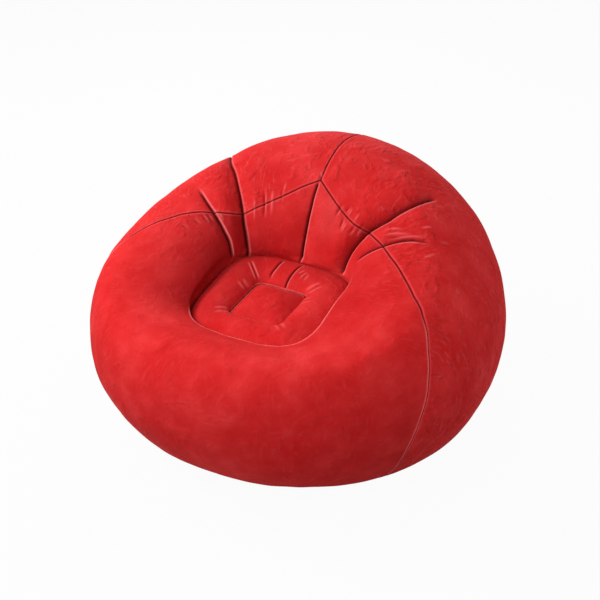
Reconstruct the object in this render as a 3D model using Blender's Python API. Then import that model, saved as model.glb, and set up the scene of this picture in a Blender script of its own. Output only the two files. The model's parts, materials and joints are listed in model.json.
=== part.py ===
# Inflatable one-seat pouf chair: flocked skin panels welded along their edges, the
# webs and ties that hold its shape from inside, and a screw-in inflation valve.
# Metres, +Z up. The sitter faces -Y; left and right are the sitter's, so left is +X.
# The origin is on the floor, under the middle of the chair.
# A place on the skin is an angle round the chair (90 is the back, -90 the front and
# 0 the sitter's left) and a level: 0 in the groove round the seat, 1 where the wall
# of the recess leans in most, 2 on the crest, 3 at the widest and 4 at the base edge.

from collections import namedtuple
from math import atan2, cos, degrees, pi, radians, sin, sqrt

import bmesh
import bpy
from mathutils import Matrix, Vector
from mathutils.geometry import closest_point_on_tri

# Widest line of the chair
outer_half_width = 0.535
outer_front = 0.530
outer_back = 0.530
outer_front_height = 0.248
outer_side_height = 0.298
outer_back_height = 0.308

# Crest of the front bulge, the arms and the backrest
crest_half_width = 0.403
crest_front = 0.493
crest_front_set_back = 0.075
crest_back = 0.249
crest_front_height = 0.413
crest_side_height = 0.494
crest_back_height = 0.706

# Inside wall of the recess, where it leans in most
recess_half_width = 0.184
recess_front = 0.288
recess_back = 0.024
recess_front_height = 0.370
recess_side_height = 0.443
recess_back_height = 0.456

# Groove between the recess wall and the seat ring, from the line above
groove_depth_front = 0.028
groove_depth_back = 0.026
groove_set_back = 0.006

# Edge of the base
base_half_width = 0.342
base_front = 0.261
base_back = 0.342

# Seat ring and its small square centre
centre_half_size = 0.074
centre_forward = 0.010
centre_lift = 0.014
centre_crown = 0.010
ring_crown = 0.030

# Sheets
skin_wall = 0.0005
web_wall = 0.0004
gap = 0.0003
merge_distance = 0.00001

# Depths of the creases over the webs
centre_crease_depth = 0.014
back_crease_depth = 0.026
arm_crease_depth = 0.014

# Webs and ties
air_hole_radius = 0.022
web_hem = 0.012

# Valve
valve_flat_radius = 0.050
patch_radius = 0.042
patch_wall = 0.0005
flange_radius = 0.034
flange_wall = 0.0016
collar_radius = 0.022
collar_height = 0.0025
socket_bore = 0.016
socket_wall = 0.0022
socket_depth = 0.020
gasket_width = 0.0038
gasket_wall = 0.0012
deck_radius = 0.0215
deck_wall = 0.0020
thread_length = 0.010
thread_wall = 0.0016
neck_bore = 0.008
neck_wall = 0.0019
neck_height = 0.0050
seat_depth = 0.0078
seat_lip = 0.0016
seat_wall = 0.0012
flap_wall = 0.0008
flap_overlap = 0.0008
flap_root = 0.0016
flap_root_width = 0.0070
cap_overhang = 0.0016
cap_wall = 0.0018
plug_length = 0.0075
plug_tip_clearance = 0.0003
tab_length = 0.0036
tab_width = 0.0080
lift_lip = 0.0032
tether_width = 0.0022
tether_wall = 0.0014
arm_wall = 0.0020

# Shapes that have no length of their own
seat_roundness = 3.575
oval_roundness = 2.0
recess_roundness = 1.63
upper_roundness = 2.17
lower_roundness = 1.71
square_roundness = 9.0
ring_fullness = 0.85
centre_slope_share = 0.58
inner_row_shares = (0.0, 0.35, 0.70, 1.05, 1.40, 1.70)
outer_row_shares = (2.0, 2.2, 2.4, 2.6, 2.8, 3.0, 3.25, 3.5, 3.75, 4.0)
# Angles where the rim seam crosses those outer rows, on its way down past the arm
steep_seam_angles = (0.0, -10.5, -17.0, -21.2, -24.3, -26.7, -29.5, -31.8, -33.5, -35.0)
# Angle and level of the rim seam from there over the arm to the top of the backrest
rim_seam_shares = (
    (19.0, 1.69), (31.0, 1.52), (45.0, 1.405), (62.0, 1.405), (77.0, 1.465), (90.0, 1.56),
)
# Levels where each crease starts and ends, its reach to each side in degrees, and how
# soon it is at full depth
centre_crease_shares = (0.85, 2.55)
back_crease_shares = (0.70, 2.45)
arm_crease_shares = (0.85, 2.15)
centre_crease_reach_angle = 11.0
back_crease_reach_angle = 10.0
arm_crease_reach_angle = 7.5
crease_full_shares = (1.45, 1.55)
web_top_shares = (1.25, 2.25)
web_foot_share = 0.90
web_waist_share = 0.30
tie_span_share = 0.84
tie_waist_share = 0.12
valve_clearing_share = 1.1
set_back_power = 3
root_inset_share = 0.6
valve_angle = 118.0
valve_level = 3.36

centre_crease_angle = 90.0
back_crease_angle = 45.0
arm_crease_angle = 30.0
pinch_angle = 3.0
front_span_count = 6
arm_span_count = 3
shoulder_span_count = 5
ring_row_count = 6
centre_row_count = 3
web_row_count = 5
band_row_count = 4
round_step_count = 48
flat_step_count = 24
fine_angle = 0.5
fine_level = 0.01
sharp_angle = radians(35)

Rail = namedtuple(
    "Rail",
    "half_width front back front_height side_height back_height roundness front_set_back",
    defaults=(0.0,),
)
Crease = namedtuple("Crease", "angle start end depth spread")

groove_front_height = recess_front_height - groove_depth_front
groove_back_height = recess_back_height - groove_depth_back
rails = (
    Rail(recess_half_width + groove_set_back, recess_front + groove_set_back,
         recess_back + groove_set_back, groove_front_height,
         (groove_front_height + groove_back_height) / 2, groove_back_height,
         seat_roundness),
    Rail(recess_half_width, recess_front, recess_back, recess_front_height,
         recess_side_height, recess_back_height, seat_roundness),
    Rail(crest_half_width, crest_front, crest_back,
         crest_front_height, crest_side_height, crest_back_height, oval_roundness,
         crest_front_set_back),
    Rail(outer_half_width, outer_front, outer_back,
         outer_front_height, outer_side_height, outer_back_height, oval_roundness),
    Rail(base_half_width, base_front, base_back, 0.0, 0.0, 0.0, oval_roundness),
)
GROOVE, RECESS, CREST, WIDEST, BASE = range(5)

back_crease = (*back_crease_shares, back_crease_depth, back_crease_reach_angle)
arm_crease = (*arm_crease_shares, arm_crease_depth, arm_crease_reach_angle)
creases = (
    Crease(centre_crease_angle, *centre_crease_shares, centre_crease_depth,
           centre_crease_reach_angle),
    Crease(back_crease_angle, *back_crease),
    Crease(180.0 - back_crease_angle, *back_crease),
    Crease(arm_crease_angle, *arm_crease),
    Crease(180.0 - arm_crease_angle, *arm_crease),
)


def rail_point(rail, angle):
    across, along = cos(radians(angle)), sin(radians(angle))
    corner = abs(across) ** rail.roundness + abs(along) ** rail.roundness
    across /= corner ** (1 / rail.roundness)
    along /= corner ** (1 / rail.roundness)
    middle = (rail.back - rail.front) / 2
    reach = (rail.back + rail.front) / 2
    lean = (rail.back_height - rail.front_height) / 2
    bow = (rail.back_height + rail.front_height) / 2 - rail.side_height
    height = rail.side_height + lean * along + bow * along * along
    set_back = rail.front_set_back * max(-along, 0.0) ** set_back_power
    return Vector((rail.half_width * across, middle + reach * along + set_back, height))


def smooth_step(value):
    value = min(max(value, 0.0), 1.0)
    return value * value * (3 - 2 * value)


def smooth_skin(angle, level):
    """Place on the skin, before the creases are pulled in."""
    start = min(int(level), BASE - 1)
    turn = (level - start) * pi / 2
    rise, fall = sin(turn), max(cos(turn), 0.0)
    if start == GROOVE:
        out, up = rise * rise, turn / (pi / 2)
    elif start == RECESS:
        out, up = 1 - fall ** (2 / recess_roundness), rise ** (2 / recess_roundness)
    elif start == CREST:
        out, up = rise ** (2 / upper_roundness), 1 - fall ** (2 / upper_roundness)
    else:
        out, up = 1 - fall ** (2 / lower_roundness), rise ** (2 / lower_roundness)
    low, high = rail_point(rails[start], angle), rail_point(rails[start + 1], angle)
    return Vector((
        low.x + (high.x - low.x) * out,
        low.y + (high.y - low.y) * out,
        low.z + (high.z - low.z) * up,
    ))


def skin_normal(angle, level):
    level = min(max(level, fine_level), BASE - fine_level)
    round_ = smooth_skin(angle + fine_angle, level) - smooth_skin(angle - fine_angle, level)
    down = smooth_skin(angle, level + fine_level) - smooth_skin(angle, level - fine_level)
    return down.cross(round_).normalized()


def crease_depth(angle, level):
    depth = 0.0
    for crease in creases:
        away = abs((angle - crease.angle + 180) % 360 - 180) / crease.spread
        if away < 1 and crease.start < level < crease.end:
            full_from, full_to = crease_full_shares
            fade = smooth_step((level - crease.start) / (full_from - crease.start))
            fade *= smooth_step((crease.end - level) / (crease.end - full_to))
            depth += crease.depth * fade * (1 - away) ** 2
    return depth


def skin_point(angle, level):
    depth = crease_depth(angle, level)
    place = smooth_skin(angle, level)
    return place - skin_normal(angle, level) * depth if depth else place


def seam_level(angle):
    """Level of the rim seam over the arm and backrest, on a curve through its places."""
    if angle > 90:
        angle = 180 - angle
    places = ((steep_seam_angles[0], outer_row_shares[0]),) + rim_seam_shares
    last = len(places) - 1
    span = max([k for k in range(last) if places[k][0] <= angle] + [0])

    def slope(k):
        low, high = max(k - 1, 0), min(k + 1, last)
        return (places[high][1] - places[low][1]) / (places[high][0] - places[low][0])

    (start, before), (end, after) = places[span], places[span + 1]
    width = end - start
    t = (angle - start) / width
    return (
        before * (1 + 2 * t) * (1 - t) ** 2 + slope(span) * width * t * (1 - t) ** 2
        + after * t * t * (3 - 2 * t) + slope(span + 1) * width * t * t * (t - 1)
    )


def spread_angles(start, end, count):
    return [start + (end - start) * k / count for k in range(count)]


# Columns of the skin from the middle of the front over the left side to the back
half_angles = (
    spread_angles(-90.0, steep_seam_angles[-1], front_span_count)
    + list(reversed(steep_seam_angles))[:-1]
    + spread_angles(steep_seam_angles[0], arm_crease_angle - pinch_angle, arm_span_count)
    + spread_angles(arm_crease_angle - pinch_angle, arm_crease_angle + pinch_angle, 2)
    + spread_angles(arm_crease_angle + pinch_angle, back_crease_angle - pinch_angle, 2)
    + spread_angles(back_crease_angle - pinch_angle, back_crease_angle + pinch_angle, 2)
    + spread_angles(back_crease_angle + pinch_angle, 90.0 - pinch_angle, shoulder_span_count)
    + [90.0 - pinch_angle, 90.0]
)
ring_angles = half_angles + [180.0 - a for a in reversed(half_angles[1:-1])]
row_shares = inner_row_shares + outer_row_shares
back_column = len(half_angles) - 1
last_row = len(row_shares) - 1


def row_level(angle, row):
    """Level of a row, bent to run along the rim seam over the arms and backrest."""
    level = row_shares[row]
    if not steep_seam_angles[0] < angle < 180 - steep_seam_angles[0]:
        return level
    seam = seam_level(angle)
    if level <= CREST:
        return level * seam / CREST
    if level < WIDEST:
        return WIDEST - (WIDEST - level) * (WIDEST - seam) / (WIDEST - CREST)
    return level


def seam_row(column):
    """Row that the rim seam has reached at a column, counted from the front."""
    column = min(column, 2 * back_column - column)
    steep = column - front_span_count
    if steep < 0:
        return last_row + 1
    return max(last_row - steep, len(inner_row_shares))


def groove_point(angle):
    return rail_point(rails[GROOVE], angle)


groove_middle = (groove_point(90.0) + groove_point(-90.0)) / 2
centre_y = groove_middle.y - centre_forward
groove_slope = (groove_back_height - groove_front_height) / (
    groove_point(90.0).y - groove_point(-90.0).y
)


def centre_point(angle, share=1.0):
    """Place on the small square centre, 1 at its edge and 0 in its middle."""
    across, along = cos(radians(angle)), sin(radians(angle))
    corner = (abs(across) ** square_roundness + abs(along) ** square_roundness)
    reach = centre_half_size * share / corner ** (1 / square_roundness)
    x, y = across * reach, along * reach
    height = groove_middle.z + centre_lift + y * groove_slope * centre_slope_share
    return Vector((x, centre_y + y, height + centre_crown * (1 - share * share)))


def ring_point(angle, share):
    """Place on the seat ring, 0 in the groove and 1 at the square centre."""
    place = groove_point(angle).lerp(centre_point(angle), share)
    place.z += ring_crown * max(sin(pi * share), 0.0) ** ring_fullness
    return place


def plain_material(name, colour, roughness, metallic=0.0):
    material = bpy.data.materials.new(name)
    material.use_nodes = True
    shader = material.node_tree.nodes["Principled BSDF"]
    shader.inputs["Base Color"].default_value = (*colour, 1.0)
    shader.inputs["Roughness"].default_value = roughness
    shader.inputs["Metallic"].default_value = metallic
    return material


def add_object(name, bm, material, keep=True):
    mesh = bpy.data.meshes.new(name)
    bm.to_mesh(mesh)
    bm.free()
    mesh.shade_smooth()
    mesh.set_sharp_from_angle(angle=sharp_angle)
    obj = bpy.data.objects.new(name, mesh)
    bpy.context.scene.collection.objects.link(obj)
    if keep:
        mesh.materials.append(plain_material(name, *material))
    else:
        obj.hide_render = True
        obj.display_type = "WIRE"
    return obj


def placed_grid(columns, rows, place, closed=False):
    """Grid whose corner (column, row) stands at place(column, row)."""
    bm = bmesh.new()
    bmesh.ops.create_grid(bm, x_segments=columns, y_segments=rows, size=0.5)
    column_of = bm.verts.layers.int.new("column")
    row_of = bm.verts.layers.int.new("row")
    for vert in bm.verts:
        column = round((vert.co.x + 0.5) * columns)
        row = round((vert.co.y + 0.5) * rows)
        if closed and column == columns:
            column = 0
        vert[column_of], vert[row_of] = column, row
        vert.co = place(column, row)
    if closed:
        bmesh.ops.remove_doubles(bm, verts=bm.verts, dist=merge_distance)
    return bm


def draw_in_edges(bm):
    """Draws every open edge in by half a gap, so that welded panels do not touch."""
    rim = bmesh.ops.inset_region(
        bm, faces=bm.faces, thickness=gap / 2, use_boundary=True, use_even_offset=True
    )
    bmesh.ops.delete(bm, geom=rim["faces"], context="FACES")


def add_panel(name, bm, material, wall=skin_wall, outward=None):
    """Makes a sheet out of a surface, with its thickness on the inner side."""
    draw_in_edges(bm)
    bm.normal_update()
    if outward is not None and outward(bm) < 0:
        bmesh.ops.reverse_faces(bm, faces=bm.faces)
    obj = add_object(name, bm, material)
    solid = obj.modifiers.new("wall", "SOLIDIFY")
    solid.thickness = wall
    solid.offset = -1.0
    return obj


def upward(bm):
    return sum(face.normal.z * face.calc_area() for face in bm.faces)


def skin_side(bm):
    return sum(
        face.normal.xy.dot(face.calc_center_median().xy) * face.calc_area()
        for face in bm.faces
        if face.calc_center_median().xy.length > crest_half_width
    )


flock_red = ((0.56, 0.045, 0.05), 0.9)
inner_vinyl = ((0.62, 0.60, 0.56), 0.5)
valve_clear = ((0.78, 0.78, 0.76), 0.35)
valve_black = ((0.05, 0.05, 0.05), 0.45)


def make_skin_panel(name, region):
    """One panel of the skin: cuts the whole skin along the seams and keeps a region."""
    columns = len(ring_angles)
    bm = placed_grid(
        columns, last_row,
        lambda column, row: skin_point(ring_angles[column], row_level(ring_angles[column], row)),
        closed=True,
    )
    column_of = bm.verts.layers.int["column"]
    row_of = bm.verts.layers.int["row"]
    corner = {(vert[column_of], vert[row_of]): vert for vert in bm.verts}
    steep = range(front_span_count, front_span_count + len(steep_seam_angles) - 1)
    spans = [(k, k + 1) for k in steep] + [(columns - k, columns - k - 1) for k in steep]
    for first, second in spans:
        ends = corner[first, seam_row(first)], corner[second, seam_row(second)]
        bmesh.ops.connect_verts(bm, verts=ends)
    dropped = []
    for face in bm.faces:
        places = [(vert[column_of], vert[row_of]) for vert in face.verts]
        if max(places)[0] - min(places)[0] > 1:
            side = "front"
        else:
            column = sum(place[0] for place in places) / len(places)
            row = sum(place[1] for place in places) / len(places)
            low = min(int(column), columns - 2)
            seam = seam_row(low) + (seam_row(low + 1) - seam_row(low)) * (column - low)
            back = "back_left" if column < back_column else "back_right"
            side = "front" if row < seam else back
        if side != region:
            dropped.append(face)
    bmesh.ops.delete(bm, geom=dropped, context="FACES")
    if region == "back_right":
        fit_valve_flat(bm)
    add_panel(name, bm, flock_red, outward=skin_side)


def make_seat_ring():
    bm = placed_grid(
        len(ring_angles), ring_row_count,
        lambda column, row: ring_point(ring_angles[column], row / ring_row_count),
        closed=True,
    )
    add_panel("seat_ring_panel", bm, flock_red, outward=upward)


def make_seat_centre():
    bm = placed_grid(
        len(ring_angles), centre_row_count,
        lambda column, row: centre_point(ring_angles[column], row / centre_row_count),
        closed=True,
    )
    add_panel("seat_centre_panel", bm, flock_red, outward=upward)


def make_base():
    bm = bmesh.new()
    bmesh.ops.create_circle(bm, cap_ends=True, segments=len(ring_angles), radius=outer_back)
    bm.verts.ensure_lookup_table()
    for vert, angle in zip(bm.verts, ring_angles):
        vert.co = skin_point(angle, BASE)
    bm.normal_update()
    if upward(bm) > 0:
        bmesh.ops.reverse_faces(bm, faces=bm.faces)
    add_panel("base_panel", bm, flock_red)


def web_grid(tops, feet, waist=0.0, rows=web_row_count, closed=False):
    """Web between a line under the skin and its foot on the base, drawn in at its
    waist when it has free edges."""
    spans = len(tops) if closed else len(tops) - 1

    def along(points, share):
        at = min(int(share * spans), spans - 1)
        return points[at].lerp(points[(at + 1) % len(points)], share * spans - at)

    def place(column, row):
        down = row / rows
        share = 0.5 + (column / spans - 0.5) * (1 - waist * sin(pi * down))
        return along(tops, share).lerp(along(feet, share), down)

    return placed_grid(spans, rows, place, closed=closed)


def add_web(name, bm):
    solid = add_object(name, bm, inner_vinyl).modifiers.new("wall", "SOLIDIFY")
    solid.thickness = web_wall
    solid.offset = 0.0


foot_height = skin_wall + gap


def make_web(name, crease_angle):
    """Web under a crease, from the skin's corners there down to the base."""
    levels = [row_level(crease_angle, row) for row in range(last_row)]
    levels = [level for level in levels if web_top_shares[0] < level < web_top_shares[1]]
    tops = [
        skin_point(crease_angle, level) - skin_normal(crease_angle, level) * (skin_wall + gap)
        for level in levels
    ]
    inner, outer = tops[0].to_2d(), tops[-1].to_2d()
    start = inner + (outer - inner).normalized() * web_hem
    middle, reach = (base_back - base_front) / 2, (base_back + base_front) / 2
    crest = rail_point(rails[CREST], crease_angle)
    facing = degrees(atan2((crest.y - middle) / reach, crest.x / base_half_width))
    end = start.lerp(rail_point(rails[BASE], facing).to_2d(), web_foot_share)
    feet = []
    for top in tops:
        share = (top.to_2d() - inner).length / (outer - inner).length
        feet.append(start.lerp(end, share).to_3d() + Vector((0.0, 0.0, foot_height)))
    add_web(name, web_grid(tops, feet, web_waist_share))


def open_air_hole(bm, column, row):
    """Opens the web round one corner of its grid and rounds the opening's edge."""
    column_of = bm.verts.layers.int["column"]
    row_of = bm.verts.layers.int["row"]
    middle = next(v for v in bm.verts if (v[column_of], v[row_of]) == (column, row))
    beside = {vert for face in middle.link_faces for vert in face.verts} - {middle}
    next_over = next(v for v in beside if (v[column_of], v[row_of]) == (column + 1, row))
    across = (next_over.co - middle.co).normalized()
    for vert in beside:
        way = across * (vert[column_of] - column) - Vector((0.0, 0.0, vert[row_of] - row))
        vert.co = middle.co + way.normalized() * air_hole_radius
    bmesh.ops.delete(bm, geom=[middle], context="VERTS")


def make_groove_web():
    foot_rail = rails[GROOVE]._replace(
        half_width=min(recess_half_width, base_half_width - web_hem),
        front=min(recess_front, base_front - web_hem), roundness=oval_roundness,
        front_height=foot_height, side_height=foot_height, back_height=foot_height,
    )
    drop = Vector((0.0, 0.0, skin_wall + 2 * gap))
    tops = [groove_point(angle) - drop for angle in ring_angles]
    feet = [rail_point(foot_rail, angle) for angle in ring_angles]
    bm = web_grid(tops, feet, rows=band_row_count, closed=True)
    for column in (front_span_count // 2, front_span_count + len(steep_seam_angles)):
        open_air_hole(bm, column, band_row_count // 2)
        open_air_hole(bm, 2 * back_column - column, band_row_count // 2)
    add_web("seat_groove_web", bm)


def make_seat_tie(name, facing):
    half = tie_span_share * 45.0
    angles = [a for a in ring_angles if abs((a - facing + 180) % 360 - 180) < half]
    angles.sort(key=lambda a: (a - facing + 180) % 360)
    tops, feet = [], []
    for angle in angles:
        edge = centre_point(angle)
        tops.append(Vector((edge.x, edge.y, edge.z - skin_wall - 2 * gap)))
        feet.append(Vector((edge.x, edge.y, foot_height)))
    add_web(name, web_grid(tops, feet, tie_waist_share))


valve_place = smooth_skin(valve_angle, valve_level)
valve_out = skin_normal(valve_angle, valve_level)


def valve_frame():
    """Frame at the valve: its Z points out of the skin and its X is level."""
    across = Vector((0.0, 0.0, 1.0)).cross(valve_out).normalized()
    up = valve_out.cross(across)
    frame = Matrix((across, up, valve_out)).transposed().to_4x4()
    return Matrix.Translation(valve_place) @ frame


def reach_to_face(face):
    corners = [vert.co for vert in face.verts]
    near = []
    for k in range(1, len(corners) - 1):
        near.append(closest_point_on_tri(valve_place, corners[0], corners[k], corners[k + 1]))
    return min((point - valve_place).length for point in near)


def fit_valve_flat(bm):
    """Opens the panel round the valve and closes it with a flat ring."""
    clearing = valve_flat_radius * valve_clearing_share
    cleared = [face for face in bm.faces if reach_to_face(face) < clearing]
    bmesh.ops.delete(bm, geom=cleared, context="FACES")
    outline = [edge for edge in bm.edges if edge.is_boundary]
    outline = loop_round_valve(outline)
    circle = bmesh.ops.create_circle(
        bm, segments=flat_step_count, radius=valve_flat_radius
    )
    bmesh.ops.transform(bm, matrix=valve_frame(), verts=circle["verts"])
    rim = list({edge for vert in circle["verts"] for edge in vert.link_edges})
    bmesh.ops.bridge_loops(bm, edges=outline + rim)
    hole = collar_radius + gap
    ring = bmesh.ops.extrude_edge_only(bm, edges=rim)
    inner = [item for item in ring["geom"] if isinstance(item, bmesh.types.BMVert)]
    shrink = Matrix.Scale(hole / valve_flat_radius, 4)
    frame = valve_frame()
    bmesh.ops.transform(bm, matrix=frame @ shrink @ frame.inverted(), verts=inner)
    bmesh.ops.triangulate(bm, faces=[f for f in bm.faces if len(f.verts) > 4])
    bmesh.ops.recalc_face_normals(bm, faces=bm.faces)


def loop_round_valve(edges):
    """The closed run of open edges that lies nearest the valve."""
    left = set(edges)
    loops = []
    while left:
        run = [left.pop()]
        grown = True
        while grown:
            grown = False
            ends = {vert for edge in run for vert in edge.verts}
            for edge in [e for e in left if e.verts[0] in ends or e.verts[1] in ends]:
                left.discard(edge)
                run.append(edge)
                grown = True
        loops.append(run)

    def nearest(run):
        return max((vert.co - valve_place).length for edge in run for vert in edge.verts)

    return min(loops, key=nearest)


def turned(profile):
    """Turns a closed outline of (radius, height) points about the Z axis."""
    bm = bmesh.new()
    verts = [bm.verts.new((radius, 0.0, height)) for radius, height in profile]
    edges = [bm.edges.new((verts[k - 1], verts[k])) for k in range(len(verts))]
    bmesh.ops.spin(
        bm, geom=verts + edges, cent=(0, 0, 0), axis=(0, 0, 1), angle=2 * pi,
        steps=round_step_count, use_merge=True,
    )
    bmesh.ops.remove_doubles(bm, verts=bm.verts, dist=merge_distance)
    flat = [face for face in bm.faces if face.calc_area() < merge_distance ** 2]
    bmesh.ops.delete(bm, geom=flat, context="FACES")
    loose = [edge for edge in bm.edges if not edge.link_faces]
    bmesh.ops.delete(bm, geom=loose, context="EDGES")
    bmesh.ops.recalc_face_normals(bm, faces=bm.faces)
    return bm


def block(low, high):
    bm = bmesh.new()
    size = [b - a for a, b in zip(low, high)]
    middle = [(a + b) / 2 for a, b in zip(low, high)]
    scale = Matrix.Diagonal((*size, 1.0))
    bmesh.ops.create_cube(bm, size=1.0, matrix=Matrix.Translation(middle) @ scale)
    return bm


def add_valve_part(name, bm, material, keep=True):
    bmesh.ops.transform(bm, matrix=valve_frame(), verts=bm.verts)
    return add_object(name, bm, material, keep)


def join(obj, other, operation="UNION"):
    joined = obj.modifiers.new(other.name, "BOOLEAN")
    joined.operation = operation
    joined.object = other


# Heights in the valve's own frame, whose zero is the outside of the skin
patch_top = -skin_wall - gap
flange_top = patch_top - patch_wall - gap
gasket_low = collar_height + gap
deck_low = gasket_low + gasket_wall + gap
deck_top = deck_low + deck_wall
neck_top = deck_top + neck_height
cap_low = neck_top + gap
seat_low = deck_top - seat_depth - seat_wall
thread_radius = socket_bore - gap
neck_radius = neck_bore + neck_wall
cap_radius = neck_radius + cap_overhang
cap_hinge_reach = cap_radius + tab_length
cap_hinge_height = cap_low - gap / 2
flap_hinge_height = seat_low - gap / 2
flap_radius = neck_bore - seat_lip + flap_overlap
flap_hinge_reach = flap_radius + flap_root


def make_patch():
    hole = collar_radius + gap
    low = patch_top - patch_wall
    profile = [(hole, low), (patch_radius, low), (patch_radius, patch_top), (hole, patch_top)]
    add_valve_part("valve_patch", turned(profile), inner_vinyl)


def make_valve_base():
    outer = socket_bore + socket_wall
    low = -socket_depth
    profile = [
        (socket_bore, low), (outer, low), (outer, flange_top - flange_wall),
        (flange_radius, flange_top - flange_wall), (flange_radius, flange_top),
        (collar_radius, flange_top), (collar_radius, collar_height),
        (socket_bore, collar_height),
    ]
    add_valve_part("valve_base", turned(profile), valve_clear)


def make_gasket():
    inner = socket_bore
    outer = inner + gasket_width
    high = gasket_low + gasket_wall
    profile = [(inner, gasket_low), (outer, gasket_low), (outer, high), (inner, high)]
    add_valve_part("valve_gasket", turned(profile), valve_black)


def make_insert():
    skirt = thread_radius - thread_wall
    low = collar_height - thread_length
    lip = neck_bore - seat_lip
    profile = [
        (neck_bore, neck_top), (neck_bore, seat_low + seat_wall),
        (lip, seat_low + seat_wall), (lip, seat_low), (neck_radius, seat_low),
        (neck_radius, deck_low), (skirt, deck_low), (skirt, low), (thread_radius, low),
        (thread_radius, deck_low), (deck_radius, deck_low), (deck_radius, deck_top),
        (neck_radius, deck_top), (neck_radius, neck_top),
    ]
    add_valve_part("valve_insert", turned(profile), valve_clear)


def make_flap():
    high = seat_low - gap
    low = high - flap_wall
    disc = turned([(0.0, low), (flap_radius, low), (flap_radius, high), (0.0, high)])
    flap = add_valve_part("valve_flap", disc, valve_clear)
    half = flap_root_width / 2
    inset = flap_radius * root_inset_share
    root = block((inset, -half, low), (flap_hinge_reach, half, high))
    join(flap, add_valve_part("flap_root_guide", root, None, keep=False))


def make_cap():
    top = cap_low + cap_wall
    wide = neck_bore - gap
    swing = cap_hinge_height - (cap_low - plug_length)
    tip = sqrt((cap_hinge_reach + neck_bore) ** 2 - swing ** 2) - cap_hinge_reach
    tip = min(tip - plug_tip_clearance, wide)
    bottom = cap_low - plug_length
    profile = [
        (0.0, bottom), (tip, bottom), (wide, cap_low), (cap_radius, cap_low),
        (cap_radius, top), (0.0, top),
    ]
    cap = add_valve_part("valve_cap", turned(profile), valve_clear)
    half = tab_width / 2
    inset = cap_radius * root_inset_share
    tab = block((inset, -half, cap_low), (cap_hinge_reach, half, top))
    join(cap, add_valve_part("cap_tab_guide", tab, None, keep=False))
    lip = block((-cap_radius - lift_lip, -half, cap_low), (-inset, half, top))
    join(cap, add_valve_part("cap_lip_guide", lip, None, keep=False))


def make_tether():
    inner = neck_radius + gap
    outer = inner + tether_width
    low = deck_top + gap
    high = low + tether_wall
    ring = turned([(inner, low), (outer, low), (outer, high), (inner, high)])
    tether = add_valve_part("cap_tether", ring, valve_clear)
    half = tab_width / 2
    strap = block((outer - tether_width / 2, -half, low), (cap_hinge_reach, half, high))
    join(tether, add_valve_part("tether_strap_guide", strap, None, keep=False))
    post = block(
        (cap_hinge_reach - arm_wall, -half, low), (cap_hinge_reach, half, cap_low - gap)
    )
    join(tether, add_valve_part("tether_post_guide", post, None, keep=False))


for old in list(bpy.data.objects):
    bpy.data.objects.remove(old, do_unlink=True)

make_skin_panel("front_panel", "front")
make_skin_panel("back_panel_left", "back_left")
make_skin_panel("back_panel_right", "back_right")
make_seat_ring()
make_seat_centre()
make_base()
make_web("centre_web", centre_crease_angle)
make_web("back_web_left", back_crease_angle)
make_web("back_web_right", 180.0 - back_crease_angle)
make_web("arm_web_left", arm_crease_angle)
make_web("arm_web_right", 180.0 - arm_crease_angle)
make_groove_web()
make_seat_tie("seat_tie_back", 90.0)
make_seat_tie("seat_tie_front", -90.0)
make_seat_tie("seat_tie_left", 0.0)
make_seat_tie("seat_tie_right", 180.0)
make_patch()
make_valve_base()
make_gasket()
make_insert()
make_flap()
make_cap()
make_tether()
print("valve at", tuple(valve_place), "pointing", tuple(valve_out))
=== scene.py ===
import json
from math import cos, pi, radians, sin

import bmesh
import bpy
import numpy as np
from mathutils import Matrix, Vector
from mathutils.kdtree import KDTree

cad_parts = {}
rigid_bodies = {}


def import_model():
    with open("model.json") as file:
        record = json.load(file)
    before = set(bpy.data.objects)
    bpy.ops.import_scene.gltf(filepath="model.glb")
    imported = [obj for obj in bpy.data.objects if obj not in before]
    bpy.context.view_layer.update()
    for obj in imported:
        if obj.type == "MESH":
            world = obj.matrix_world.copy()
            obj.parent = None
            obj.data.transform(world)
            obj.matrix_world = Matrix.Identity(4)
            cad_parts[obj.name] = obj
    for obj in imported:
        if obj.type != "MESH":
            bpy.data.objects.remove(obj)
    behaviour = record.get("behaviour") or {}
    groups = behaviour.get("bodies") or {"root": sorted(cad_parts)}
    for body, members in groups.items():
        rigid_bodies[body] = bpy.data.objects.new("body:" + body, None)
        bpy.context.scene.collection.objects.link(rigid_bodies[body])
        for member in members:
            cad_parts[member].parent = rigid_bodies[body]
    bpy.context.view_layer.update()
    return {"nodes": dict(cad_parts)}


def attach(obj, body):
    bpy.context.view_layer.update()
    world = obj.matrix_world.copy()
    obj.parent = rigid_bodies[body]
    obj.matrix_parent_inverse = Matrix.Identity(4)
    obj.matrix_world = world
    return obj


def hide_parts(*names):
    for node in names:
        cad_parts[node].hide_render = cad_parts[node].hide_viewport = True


for old in list(bpy.data.objects):
    bpy.data.objects.remove(old, do_unlink=True)
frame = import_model()
print("frame loaded:", len(frame["nodes"]), "nodes")

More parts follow.
